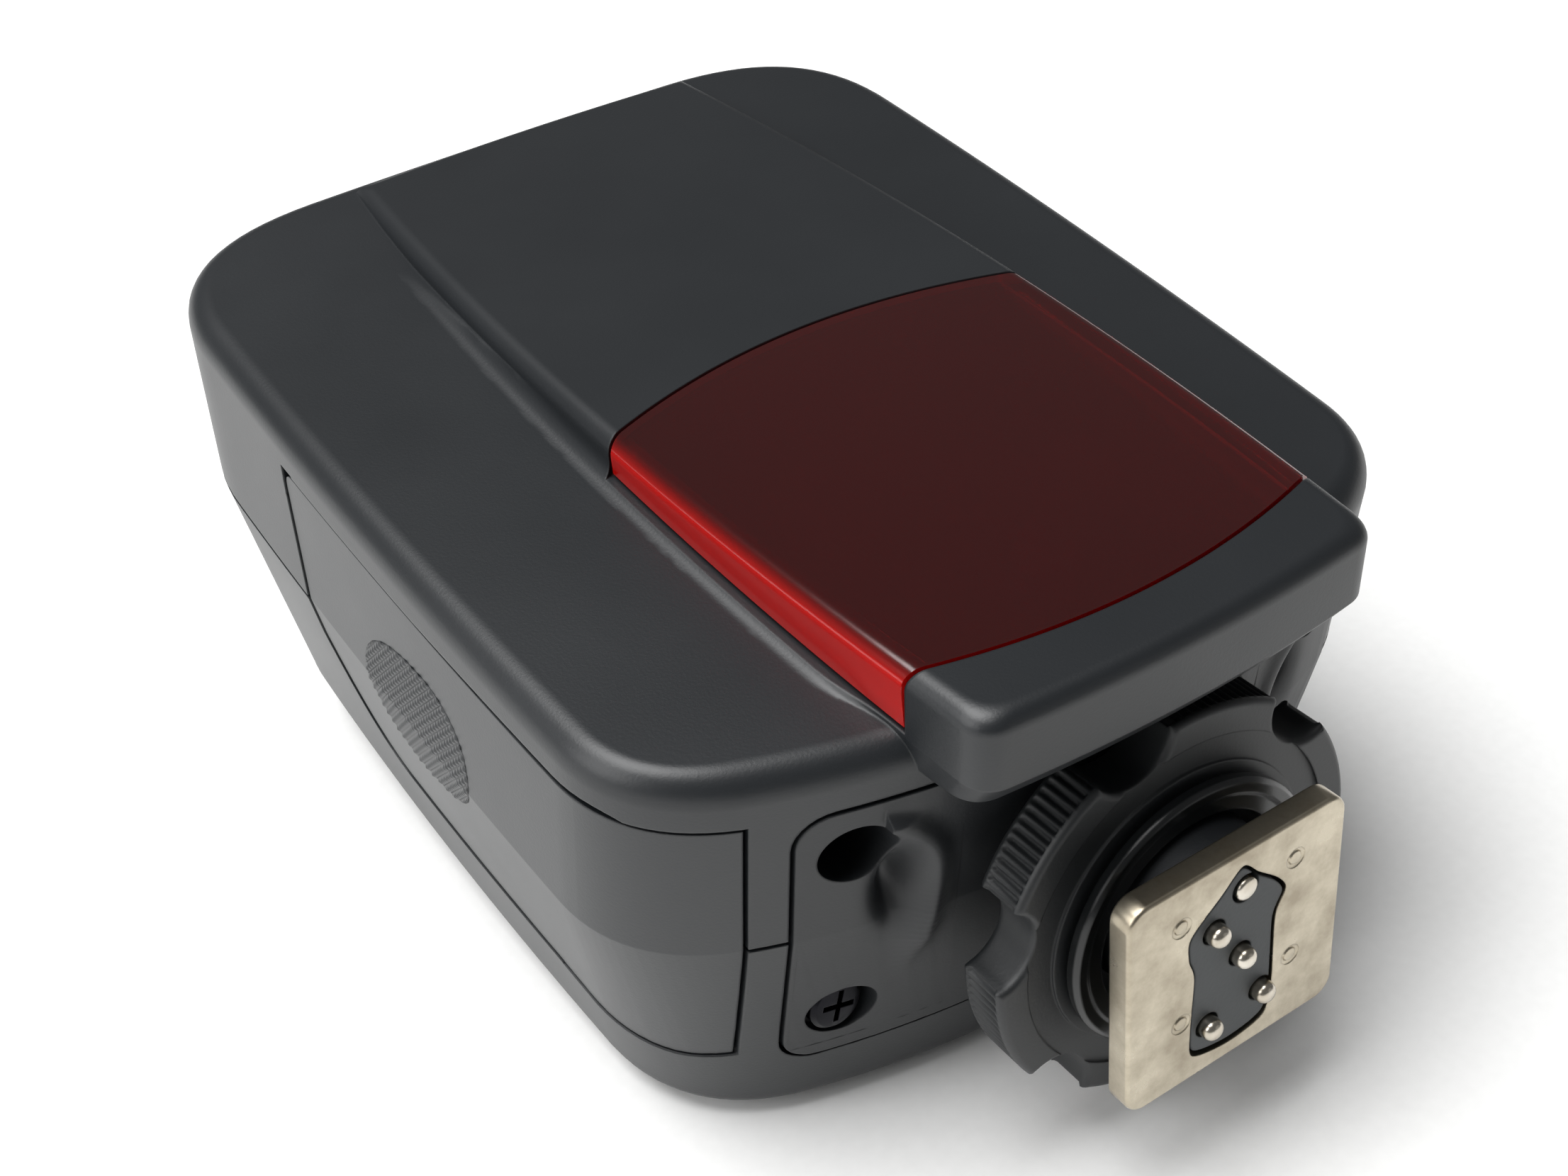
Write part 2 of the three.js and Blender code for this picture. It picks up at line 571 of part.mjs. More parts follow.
// ---- screws ----
const caseScrewProfile = [[0, 0], [2.1, 0], [2.1, 1.2], [1.1, 1.2], [1.1, 7], [0, 7.6]];
caseScrews.forEach(([x, y], i) => {
  const screw = new THREE.LatheGeometry(caseScrewProfile.map(([r, h]) => new THREE.Vector2(r, h)), 16);
  add(`case_screw_${i + 1}`, screw.rotateX(Math.PI / 2).translate(x, y, 2.4), steel);
});

// ---- foot bracket, in the shoe frame ----
const screwX = 19.9;
const screwZ = [11.2, -5.8];
const bracketScrews = [-1, 1].flatMap((side) => screwZ.map((z) => [side * screwX, z]));
const stemHole = 8.6;
const stemX = 0.3;             // the stem, disc and ring are this far off the foot's middle
const stemZ = 0.5;
const shoePart = (name, shape, finish) => add(name, shape, finish, shoe);
const inverse = shoe.matrix.clone().invert();

const bracketBlank = inShoe(plateY(bracketShape(0), 2, 34)).intersect(skin(-0.1));
const scoop = (side, grow) => inShoe(new THREE.SphereGeometry(1, 24, 16)
  .scale(6.8 + grow, 7.2 + grow, 8.6 + grow)
  .translate(side * 19.4, 10, 10.6));
let bracket = bracketBlank.subtract(skin(WALL));
// Beside the ring the face is scooped out round each upper screw, behind a ridge bowed towards the ring.
function ridgeShape(side) {
  const shape = new THREE.Shape();
  shape.moveTo(side * 15.6, -2);
  shape.quadraticCurveTo(side * 14.6, 4, side * 14.3, 8);
  shape.quadraticCurveTo(side * 14.6, 12.4, side * 19.6, 14.6);
  shape.lineTo(side * 19.6, 12.9);
  shape.quadraticCurveTo(side * 16.6, 11, side * 16.2, 8);
  shape.quadraticCurveTo(side * 16.4, 4, side * 17.2, -2);
  return shape;
}
for (const side of [-1, 1]) {
  bracket = bracket.add(scoop(side, 1.8).intersect(bracketBlank));
  bracket = bracket.subtract(scoop(side, 0));
  bracket = bracket.add(inShoe(plateY(ridgeShape(side), 10.6, 17)));
}
const bossRadius = 3.6;
for (const [x, z] of bracketScrews) {
  bracket = bracket.add(inShoe(rodY(bossRadius, x, z, 17.3, 20.6, 20)));
}
for (const [x, z] of bracketScrews) {
  bracket = bracket.subtract(inShoe(rodY(headHole, x, z, 8, 19.2, 20)));
  bracket = bracket.subtract(inShoe(rodY(shankHole, x, z, 18, 22, 12)));
}
const stopScrewZ = 10.2;
const ringPocket = RING_RADIUS + 1;
bracket = bracket.subtract(inShoe(rodY(stemHole, stemX, stemZ, 2, 30, 28)));
bracket = bracket.subtract(inShoe(rodY(1.6, 0, stopScrewZ, 5, 13.5, 14)));
bracket = bracket.subtract(inShoe(rodY(ringPocket, stemX, stemZ, 2, 10.2, 36)));
shoePart('foot_bracket', toGeometry(bracket).applyMatrix4(inverse), blackPlastic);
const bracketScrewProfile = [[0, 0], [2.1, 0], [2.1, 1.3], [1.1, 1.3], [1.1, 3.6], [0, 4.2]];
bracketScrews.forEach(([x, z], i) => {
  const screw = new THREE.LatheGeometry(bracketScrewProfile.map(([r, h]) => new THREE.Vector2(r, h)), 16);
  shoePart(`bracket_screw_${i + 1}`, screw.translate(x, 17.4, z), steel);
});

// ---- hot shoe foot ----
const insulatorOutline = (scale) => {
  const points = [[-3.6, -7], [-3.9, -4.5], [-3.7, 0.3], [-4.2, 2.2], [-4.1, 4.2], [-1.6, 6.4], [0.2, 7.9],
    [1.6, 6.6], [3.4, 5], [4.2, 3.6], [3.4, 1.6], [3.4, -4.4], [2.8, -7.2], [-0.4, -7.8]];
  const curve = new THREE.CatmullRomCurve3(
    points.map(([x, z]) => new THREE.Vector3(x * scale, z * scale, 0)), true, 'catmullrom', 0.4);
  return new THREE.Shape(curve.getPoints(42).slice(0, -1).map((p) => new THREE.Vector2(p.x, p.y)));
};
const footShape = roundedRect(FOOT_WIDTH, FOOT_DEPTH, 1.6);
const lockPinAt = [0.6, 5.7];
const contactPins = [['contact_pin_center', 0.4, 0], ['contact_pin_monitor', -2, 3.4],
  ['contact_pin_ready', 2.4, -4.5], ['contact_pin_quench', -2.3, -4.9]];
const pinHoles = contactPins.map(([, x, z]) => [x, z, 1]).concat([[...lockPinAt, 1.15]]);
function drilled(solid, y0, y1) {
  return pinHoles.reduce((rest, [x, z, r]) => rest.subtract(toSolid(rodY(r, x, z, y0, y1, 14))), solid);
}

const footPlate = toSolid(plateY(footShape, 0, FOOT_THICKNESS));
shoePart('foot_plate', footPlate.subtract(toSolid(plateY(insulatorOutline(1), -1, 5))), nickel);
const insulator = toSolid(plateY(insulatorOutline(0.955), 0.1, FOOT_THICKNESS));
shoePart('foot_insulator', drilled(insulator, -1, 5), rubberBlack);
const stemShape = roundedRect(12.4, 14.4, 6.1, stemX, stemZ);
const stem = toSolid(plateY(stemShape, FOOT_THICKNESS + GAP, 21));
shoePart('foot_stem', drilled(stem, 1, 7.5), blackPlastic);
contactPins.forEach(([name, x, z]) => {
  const profile = [[0, 0], [0.55, 0.08], [0.82, 0.4], [0.82, 5], [0, 5]];
  const pin = new THREE.LatheGeometry(profile.map(([r, y]) => new THREE.Vector2(r, y)), 14);
  shoePart(name, pin.translate(x, -1, z), nickel);
});
shoePart('lock_pin', rodY(0.9, ...lockPinAt, -0.2, 5.4, 14), nickel);

// ---- clamp: the ring turns on the stem and drives the disc towards the plate ----
const discFront = 4.2;
const ringFront = 5.7;
const ringBack = 9.7;
const ringBore = 7.9;
const disc = toSolid(rodY(10.3, stemX, stemZ, discFront, discFront + 1.2, 40));
shoePart('pressure_disc', disc.subtract(toSolid(rodY(ringBore, stemX, stemZ, 3, 7, 32))), blackGloss);
let ring = toSolid(rodY(RING_RADIUS, stemX, stemZ, ringFront, ringBack, 72));
ring = ring.subtract(toSolid(rodY(ringBore, stemX, stemZ, 5, 11, 32)));
const notchRadius = 3.3;
const reach = RING_RADIUS + 0.7;
for (let i = 0; i < RING_NOTCHES; i++) {
  const angle = THREE.MathUtils.degToRad(45 + i * 360 / RING_NOTCHES);
  const notchX = stemX + reach * Math.cos(angle);
  const notchZ = stemZ + reach * Math.sin(angle);
  ring = ring.subtract(toSolid(rodY(notchRadius, notchX, notchZ, 5, 11, 20)));
}
shoePart('lock_ring', ring, blackPlastic);
shoePart('stop_screw', rodY(1.3, 0, stopScrewZ, 10.6, 13.2, 14), steel);

export default root;
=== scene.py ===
import math
import bmesh
import bpy
import numpy as np
from mathutils import Matrix, Vector
from mathutils.bvhtree import BVHTree


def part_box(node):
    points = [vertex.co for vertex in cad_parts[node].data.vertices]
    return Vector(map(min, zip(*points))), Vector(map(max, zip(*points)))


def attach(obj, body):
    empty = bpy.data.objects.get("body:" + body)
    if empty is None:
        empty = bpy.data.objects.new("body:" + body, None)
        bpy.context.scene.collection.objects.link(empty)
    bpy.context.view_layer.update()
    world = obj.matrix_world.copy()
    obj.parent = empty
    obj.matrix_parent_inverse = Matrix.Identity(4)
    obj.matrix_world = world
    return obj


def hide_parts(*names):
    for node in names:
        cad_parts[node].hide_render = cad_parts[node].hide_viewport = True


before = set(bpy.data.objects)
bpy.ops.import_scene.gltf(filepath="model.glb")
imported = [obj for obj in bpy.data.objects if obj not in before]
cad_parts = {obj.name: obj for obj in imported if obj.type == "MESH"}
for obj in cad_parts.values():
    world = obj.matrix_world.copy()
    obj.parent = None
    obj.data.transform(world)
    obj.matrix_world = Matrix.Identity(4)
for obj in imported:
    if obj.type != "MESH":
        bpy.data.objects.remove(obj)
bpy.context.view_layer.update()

# ---- Studio: a white sheet of paper on a table, one large soft window light from the left and a
# weaker fill, and a normal lens looking down on the foot end from the front left.
MM = 0.001
width, length, height = 66.2, 92.6, 42.9
far_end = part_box("rear_shell")[1].y / MM
foot_face = far_end - length
foot_tilt = math.radians(4.2)
foot_height = 19.0
axis_x = 2.2

camera_data = bpy.data.cameras.new("camera")
camera_data.lens = 48.26
camera_data.sensor_width = 36.0
camera_data.clip_start = 0.01
camera = bpy.data.objects.new("camera", camera_data)
eye = Vector((axis_x - 71.81, foot_face - 61.35, 124.65))
right = Vector((0.82507, -0.56332, -0.04452))
up = Vector((0.38290, 0.49954, 0.77705))
back = right.cross(up)
camera.matrix_world = Matrix.Translation(eye * MM) @ Matrix((right, up, back)).transposed().to_4x4()
bpy.context.scene.collection.objects.link(camera)
bpy.context.scene.camera = camera


def linear(hex_colour):
    """An sRGB hex colour as the linear values that Blender works in."""
    parts = [int(hex_colour[i:i + 2], 16) / 255 for i in (1, 3, 5)]
    return [p / 12.92 if p <= 0.04045 else ((p + 0.055) / 1.055) ** 2.4 for p in parts] + [1.0]


def node(material, kind, settings=None, **links):
    """Adds a shader node: settings are its own properties, links its inputs, as values or sockets."""
    made = material.node_tree.nodes.new("ShaderNode" + kind)
    for key, value in (settings or {}).items():
        setattr(made, key, value)
    for key, value in links.items():
        socket = made.inputs[int(key[1:])] if key[0] == "_" else made.inputs[key.replace("_", " ")]
        if isinstance(value, bpy.types.NodeSocket):
            material.node_tree.links.new(value, socket)
        else:
            socket.default_value = value
    return made


def new_material(name):
    made = bpy.data.materials.new(name)
    made.use_nodes = True
    made.node_tree.nodes.clear()
    return made


def finish_material(material, shader):
    out = material.node_tree.nodes.new("ShaderNodeOutputMaterial")
    material.node_tree.links.new(shader.outputs[0], out.inputs["Surface"])
    return material


# Cartridge paper: white, with a faint pulp grain.
paper = new_material("cartridge_paper")
position = node(paper, "TexCoord").outputs["Object"]
pulp = node(paper, "TexNoise", Vector=position, Scale=900.0, Detail=3.0)
paper_colour = node(paper, "Mix", {"data_type": "RGBA"}, _0=pulp.outputs["Fac"],
                    _6=linear("#f4f4f3"), _7=linear("#fbfbfa"))
finish_material(paper, node(paper, "BsdfPrincipled", Base_Color=paper_colour.outputs[2], Roughness=0.9))

sheet = bpy.data.meshes.new("floor")
reach = 1.6
sheet.from_pydata([(-reach, -reach, 0), (reach, -reach, 0), (reach, reach, 0), (-reach, reach, 0)],
                  [], [(0, 1, 2, 3)])
floor = bpy.data.objects.new("floor", sheet)
floor.data.materials.append(paper)
bpy.context.scene.collection.objects.link(floor)


def soft_light(name, place, target, size, power):
    data = bpy.data.lights.new(name, "AREA")
    data.shape = "DISK"
    data.size = size
    data.energy = power
    lamp = bpy.data.objects.new(name, data)
    lamp.location = place
    lamp.rotation_euler = (Vector(target) - Vector(place)).to_track_quat("-Z", "Y").to_euler()
    bpy.context.scene.collection.objects.link(lamp)


soft_light("window_light", (-1.0, 0.1, 0.55), (0, 0, 0.02), 0.8, 6.0)
soft_light("ceiling_light", (-0.3, 0.2, 1.1), (0, 0, 0.02), 0.9, 17.5)
soft_light("fill_light", (0.5, -0.9, 0.35), (0, 0, 0.02), 0.6, 0.2)
world = bpy.data.worlds.new("studio")
world.use_nodes = True
world.node_tree.nodes["Background"].inputs["Color"].default_value = (1.0, 1.0, 1.0, 1.0)
world.node_tree.nodes["Background"].inputs["Strength"].default_value = 0.16
bpy.context.scene.world = world
bpy.context.scene.view_settings.view_transform = "Standard"


# ---- Casing: two injection-moulded halves in black ABS that meet on a slanted parting line, the front
# one with two side wings and a raised band, the rear one with a console that the trigger lies on.
half = width / 2
wall = 2.0
gap = 0.3
waist = foot_face + 62
parting_slope = 0.066


def curve(points, steps):
    """Samples a quadratic curve through a start, a control and an end point, without its end."""
    start, control, end = (np.array(p, float) for p in points)
    t = np.linspace(0, 1, steps, endpoint=False)[:, None]
    return (1 - t) ** 2 * start + 2 * t * (1 - t) * control + t ** 2 * end


def casing_outline(wide, near, far, bow, near_bow, far_bow, near_radius, far_radius):
    """The casing seen from the front: four slightly bowed sides with rounded corners."""
    def near_y(x):
        return near + near_bow * ((x - axis_x) / half) ** 2

    def far_y(x):
        return far - far_bow * (x / half) ** 2

    def side(y):
        return wide - bow * ((y - waist) / 42) ** 2

    def bowed(start, middle, end):
        return curve([start, 2 * np.array(middle) - 0.5 * np.array(start) - 0.5 * np.array(end), end], 28)

    reach_x = wide - bow
    turn = {s: near_y(s * reach_x) for s in (-1, 1)}
    far_turn = far_y(reach_x)
    parts = []
    a, b = -reach_x + near_radius, reach_x - near_radius
    parts.append(bowed((a, near_y(a)), (0, near_y(0)), (b, near_y(b))))
    low, high = turn[1] + near_radius, far_turn - far_radius
    parts.append(curve([(b, near_y(b)), (reach_x, turn[1]), (side(low), low)], 14))
    parts.append(bowed((side(low), low), (side((low + high) / 2), (low + high) / 2), (side(high), high)))
    c = reach_x - far_radius
    parts.append(curve([(side(high), high), (side(high), far_turn), (c, far_y(c))], 18))
    parts.append(bowed((c, far_y(c)), (0, far_y(0)), (-c, far_y(c))))
    low = turn[-1] + near_radius
    parts.append(curve([(-c, far_y(c)), (-side(high), far_turn), (-side(high), high)], 18))
    parts.append(bowed((-side(high), high), (-side((low + high) / 2), (low + high) / 2), (-side(low), low)))
    parts.append(curve([(-side(low), low), (-reach_x, turn[-1]), (a, near_y(a))], 14))
    return np.concatenate(parts)


def parting_outline(inset):
    return casing_outline(half - inset, foot_face + 12 + inset, far_end - inset, 1.2, 8.2, 1,
                          7 - inset, 14 - inset)


def wing_outline(inset):
    return casing_outline(half - 0.3 - inset, foot_face + 10.6 + inset, far_end - 0.3 - inset, 1.2, 8.2, 1,
                          7 - inset, 14 - inset)


def rear_outline(inset):
    return casing_outline(half - 3 - inset, foot_face + 15.5 + inset, far_end - 3.5 - inset, 1.8, 7.7, 1,
                          8 - inset, 12 - inset)


def parting_height(y):
    return 21.6 + parting_slope * (y - foot_face - 16)


def wing_height(y):
    return np.minimum(37.9 + 0.058 * (y - foot_face - 16), height - 0.5)


def rear_height(y):
    return 1.9 + parting_slope * (y - foot_face - 16)


def add_object(name, points, faces):
    """A mesh object from points in millimetres."""
    mesh = bpy.data.meshes.new(name)
    mesh.from_pydata([tuple(p) for p in np.array(points, float) * MM], [], faces)
    mesh.validate()
    made = bpy.data.objects.new(name, mesh)
    bpy.context.scene.collection.objects.link(made)
    return made


def loft(name, rings):
    """A closed solid through rings of equal point counts, each an array of x, y, z."""
    count = len(rings[0])
    faces = []
    for k in range(len(rings) - 1):
        for i in range(count):
            a, b = k * count + i, k * count + (i + 1) % count
            faces.append((a, b, b + count, a + count))
    faces.append(tuple(range(count))[::-1])
    top = (len(rings) - 1) * count
    faces.append(tuple(range(top, top + count)))
    return add_object(name, np.concatenate(rings), faces)


def ring(outline, heights):
    z = heights(outline[:, 1]) if callable(heights) else np.full(len(outline), heights)
    return np.column_stack([outline, z])


def combine(base, tool, how="DIFFERENCE"):
    """Joins, cuts or intersects a solid with a tool, which is used up."""
    change = base.modifiers.new("change", "BOOLEAN")
    change.operation = how
    change.solver = "MANIFOLD"
    change.object = tool
    bpy.context.view_layer.update()
    solid = bpy.data.meshes.new_from_object(base.evaluated_get(bpy.context.evaluated_depsgraph_get()))
    base.modifiers.clear()
    base.data = solid
    bpy.data.objects.remove(tool)
    return base


def shade(made, material, angle=32):
    """Smooth shading with edges sharper than the angle kept, and the piece's material."""
    made.data.materials.clear()
    made.data.materials.append(material)
    made.data.shade_smooth()
    made.data.set_sharp_from_angle(angle=math.radians(angle))
    weighted = made.modifiers.new("weighted_normals", "WEIGHTED_NORMAL")
    weighted.keep_sharp = True
    return made


def place(piece, body, slot, *nodes):
    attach(piece, body)
    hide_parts(*nodes)


def upper_body(inset, drop, edge=2.2):
    """The front half's block, with a rounded top edge."""
    rings = [ring(parting_outline(inset), lambda y: parting_height(y) - drop)]
    for angle in np.radians(np.linspace(0, 90, 9)):
        shrink, sink = edge * (1 - math.cos(angle)), edge * (1 - math.sin(angle))
        rings.append(ring(wing_outline(inset + shrink), lambda y: wing_height(y) - sink - inset))
    return loft("upper", rings)


def lower_body(inset, rise):
    rings = []
    for angle in np.radians(np.linspace(90, 0, 7)):
        shrink, sink = 1.6 * (1 - math.cos(angle)), 1.6 * math.sin(angle)
        rings.append(ring(rear_outline(inset + shrink), lambda y: rear_height(y) + 0.6 + inset - sink))
    rings.append(ring(parting_outline(inset), lambda y: parting_height(y) + rise))
    return loft("lower", rings)


band_near, band_far = foot_face + 6.6, far_end - 2.6


def band_outline(inset, front_inset=None, flare=0.0):
    """The raised band seen from the front; flare widens it away from the bumper, for its root."""
    near = band_near + (inset if front_inset is None else front_inset)
    far = band_far - inset
    middle = (near + far) / 2
    wide = 18.3 - inset
    end, corner = wide - 2.1, 2.2
    parts = [
        curve([(-end + corner, near), (0, near - 1.4), (end - corner, near)], 24),
        curve([(end - corner, near), (end - 0.3, near + 0.2), (end, near + corner)], 10),
        curve([(end, near + corner), (wide + 2.1, middle), (end, far)], 90),
        curve([(end, far), (0, far + 1), (-end, far)], 24),
        curve([(-end, far), (-wide - 2.1, middle), (-end, near + corner)], 90),
        curve([(-end, near + corner), (-end + 0.3, near + 0.2), (-end + corner, near)], 10),
    ]
    points = np.concatenate(parts)
    grow = np.clip((points[:, 1] - foot_face - 15) / 6, 0, 1)
    points[:, 0] += np.sign(points[:, 0]) * flare * grow * (3 - 2 * grow) * grow
    points[:, 0] += axis_x
    return points


def band(inset, bottom, edge=1.3, root=0.0):
    """The band's block: a rounded top edge, and a soft concave root on the wings."""
    rings = [ring(band_outline(inset + 0.2, inset + 1.2, root), bottom)]
    if root:
        for angle in np.radians(np.linspace(0, 90, 7)):
            spread, climb = root * (1 - math.sin(angle)), root * (1 - math.cos(angle))
            rings.append(ring(band_outline(inset, None, spread), lambda y: np.minimum(
                wing_height(y) + climb, height - edge - 0.15 + 0.02 * climb)))
    for angle in np.radians(np.linspace(0, 90, 8)):
        shrink, sink = edge * (1 - math.cos(angle)), edge * (1 - math.sin(angle))
        rings.append(ring(band_outline(inset + shrink), height - sink - inset))
    return loft("band", rings)


bumper_bottom = height - 7.4


def window_region(grow):
    """The stretch of the band taken up by the window, between two arcs that bow outwards."""
    near, far, wide = foot_face + 13.6 - grow, foot_face + 45 + grow, 20.3
    outline = np.concatenate([
        curve([(-wide, near + 1.2), (0, near - 6.6), (wide, near + 1.2)], 60),
        [(wide, near + 1.2)],
        curve([(wide, far - 1), (0, far + 8.2), (-wide, far - 1)], 60),
        [(-wide, far - 1)],
    ]) + (axis_x, 0)
    return loft("region", [ring(outline, lambda y: wing_height(y) + 0.5 - grow), ring(outline, height + 5)])


def block(x0, x1, y0, y1, z0, z1):
    corners = [(x, y, z) for z in (z0, z1) for y in (y0, y1) for x in (x0, x1)]
    return add_object("block", corners, [(0, 2, 3, 1), (4, 5, 7, 6), (0, 1, 5, 4),
                                         (2, 6, 7, 3), (0, 4, 6, 2), (1, 3, 7, 5)])


def rod(radius, centre, start, end, axis="Z", sides=48):
    """A plain cylinder along one axis, used to cut holes."""
    angles = np.linspace(0, 2 * math.pi, sides, endpoint=False)
    circle = np.column_stack([centre[0] + radius * np.cos(angles), centre[1] + radius * np.sin(angles)])
    made = loft("rod", [ring(circle, start), ring(circle, end)])
    turn = {"Z": Matrix.Identity(4), "X": Matrix(((0, 0, 1, 0), (1, 0, 0, 0), (0, 1, 0, 0), (0, 0, 0, 1))),
            "Y": Matrix(((0, 1, 0, 0), (0, 0, 1, 0), (1, 0, 0, 0), (0, 0, 0, 1)))}[axis]
    made.data.transform(turn)
    return made


# The frame of the hot shoe: its Y axis runs from the foot's outer face into the casing.
shoe = Matrix.Translation(Vector((axis_x, foot_face, foot_height)) * MM) @ Matrix.Rotation(-foot_tilt, 4, "X")


def in_shoe(made):
    made.data.transform(shoe)
    return made


def rounded_rectangle(wide, tall, radius, x=0.0, y=0.0, steps=8):
    points = []
    for sx, sy, start in ((1, 1, 0), (-1, 1, 90), (-1, -1, 180), (1, -1, 270)):
        for angle in np.radians(np.linspace(start, start + 90, steps)):
            points.append((x + sx * (wide / 2 - radius) + radius * math.cos(angle),
                           y + sy * (tall / 2 - radius) + radius * math.sin(angle)))
    return np.array(points)


def plate_y(outline, y0, y1):
    """A plate whose outline is drawn in X and Z, from y0 to y1."""
    rings = [np.column_stack([outline[:, 0], np.full(len(outline), y), outline[:, 1]]) for y in (y1, y0)]
    return loft("plate", rings)


def skin_block(inset):
    return combine(upper_body(inset, 0), lower_body(inset, 0.02), "UNION")


bracket_top, bracket_bottom, bracket_wide = 15.4, -10.6, 47.4


def bracket_plate(grow):
    outline = rounded_rectangle(bracket_wide + 2 * grow, bracket_top - bracket_bottom + 2 * grow, 2.5 + grow,
                                0, (bracket_top + bracket_bottom) / 2)
    return in_shoe(plate_y(outline, 2, 34))


# The door's opening: straight edges along the parting slope, and a low corner turned about the hinge pin.
door_far = foot_face + 64.5
door_edge = -24.4
hinge_y = foot_face + 49


def door_top(y):
    return 34.3 + parting_slope * (y - foot_face - 25)


def door_low(y):
    return 7.8 + 0.074 * (y - foot_face - 4)


pin_depth = 1.3
hinge_x = -32.75 + pin_depth
hinge = (Matrix.Translation(Vector((hinge_x, hinge_y, door_top(hinge_y) - pin_depth)) * MM)
         @ Matrix.Rotation(math.atan(parting_slope), 4, "X"))


def in_hinge(made):
    made.data.transform(hinge)
    return made


def door_region(grow):
    near, far = foot_face + 4, door_far + grow
    edge = np.concatenate([
        [(near, door_low(near) - grow)],
        curve([(far - 9, door_low(far - 9) - grow), (far - 3, door_low(far - 3) - grow), (far, 21)], 16),
        [(far, 21)],
        curve([(far, door_top(far) + grow - 1.5), (far, door_top(far) + grow),
               (far - 1.5, door_top(far - 1.5) + grow)], 8),
        [(far - 1.5, door_top(far - 1.5) + grow), (near, door_top(near) + grow)],
    ])
    rings = [np.column_stack([np.full(len(edge), x), edge]) for x in (-half - 8, door_edge + grow)]
    region = loft("door_region", rings)
    angles = np.linspace(0, 2 * math.pi, 160, endpoint=False)
    turned = []
    for u, radius in ((-44, 24.8), (-28, 24.8), (-17, 23.65)):
        r = radius + grow
        turned.append(np.column_stack([r * np.sin(angles), np.full(160, u), r * np.cos(angles)]))
    corner = loft("corner", turned)
    low_half = block(-4, door_edge + grow - hinge_x, -43, -17.2, -27, -18)
    return combine(region, in_hinge(combine(corner, low_half, "INTERSECT")), "UNION")


# Injection-moulded ABS, spark-eroded to a fine even grain: dark grey-black, soft broad highlights,
# a slight polish where hands rub it, and a few specks of dust that the grain holds.
def moulded_abs(name, base, worn, roughness, grain_mm=0.22, dust=0.0, grain_depth=0.02):
    made = new_material(name)
    place_at = node(made, "TexCoord").outputs["Object"]
    grain = node(made, "TexNoise", Vector=place_at, Scale=1 / (grain_mm * MM), Detail=3.0, Roughness=0.6)
    patch = node(made, "TexNoise", Vector=place_at, Scale=55.0, Detail=4.0)
    tone = node(made, "Mix", {"data_type": "RGBA"}, _0=patch.outputs["Fac"],
                _6=linear(base), _7=linear(worn))
    specks = node(made, "TexVoronoi", Vector=place_at, Scale=260.0, Randomness=1.0)
    speck = node(made, "ValToRGB", Fac=specks.outputs["Distance"])
    speck.color_ramp.elements[0].position = 0.035
    speck.color_ramp.elements[0].color = (dust, dust, dust, 1)
    speck.color_ramp.elements[1].position = 0.06
    speck.color_ramp.elements[1].color = (0, 0, 0, 1)
    rare = node(made, "Math", {"operation": "GREATER_THAN"}, _0=specks.outputs["Color"], _1=0.93)
    amount = node(made, "Math", {"operation": "MULTIPLY"}, _0=speck.outputs["Color"], _1=rare.outputs[0])
    dusty = node(made, "Mix", {"data_type": "RGBA"}, _0=amount.outputs[0],
                 _6=tone.outputs[2], _7=linear("#b9b9b4"))
    shine = node(made, "MapRange", Value=patch.outputs["Fac"], _3=roughness - 0.05, _4=roughness + 0.06)
    soft_edge = node(made, "Bevel", {"samples": 4}, Radius=0.22 * MM)
    bump = node(made, "Bump", Strength=0.55, Distance=grain_depth * MM,
                Height=grain.outputs["Fac"], Normal=soft_edge.outputs["Normal"])
    shader = node(made, "BsdfPrincipled", Base_Color=dusty.outputs[2], Roughness=shine.outputs[0],
                  Normal=bump.outputs["Normal"], IOR=1.53)
    return finish_material(made, shader)


casing_abs = moulded_abs("moulded_abs_casing", "#15181b", "#1b1e21", 0.4, dust=0.9)
door_abs = moulded_abs("moulded_abs_door", "#171a1d", "#1d2023", 0.38, dust=0.5)
bracket_abs = moulded_abs("moulded_abs_bracket", "#131619", "#191b1e", 0.46, dust=0.3)

front = combine(upper_body(0, -gap / 2), band(0, bumper_bottom, root=1.5), "UNION")
combine(front, upper_body(wall, 6))
beyond_bumper = block(-half, half, foot_face + 15, far_end, 0, height)
combine(front, combine(band(wall, 21.6, 0.5), beyond_bumper, "INTERSECT"))
combine(front, window_region(gap / 2))
combine(front, door_region(gap / 2))
# The relief round the hinge pin, and a nick at its far end, let the door swing up to 90 degrees.
combine(front, in_hinge(rod(1.86, (0, 0), -42, 15.65, "Y")))
combine(front, in_hinge(block(-3, -0.6, 13.9, 15.64, 0.2, 1.6)))
jack_y, jack_z, jack_hole = foot_face + 58, 30, 3.3
combine(front, rod(jack_hole, (jack_y, jack_z), 28, half + 1, "X"))
bracket_opening = combine(bracket_plate(gap), skin_block(wall + 1.4))
combine(front, bracket_opening)
lug_spans = ((-13, -11), (8.3, 10.3))
for start, end in lug_spans:
    lug = in_hinge(rod(0.62, (0, 0), start, end, "Y", 24))
    combine(lug, in_hinge(block(0, 2.4, start, end, -0.8, 0.4)), "UNION")
    combine(lug, in_hinge(block(1.95, 2.85, start, end, -0.8, 4)), "UNION")
    combine(lug, in_hinge(rod(0.46, (0, 0), -18, 16, "Y", 24)))
    combine(front, lug, "UNION")
front.name = "front_shell_moulding"
shade(front, casing_abs)
place(front, "casing", "black_plastic", "front_shell")

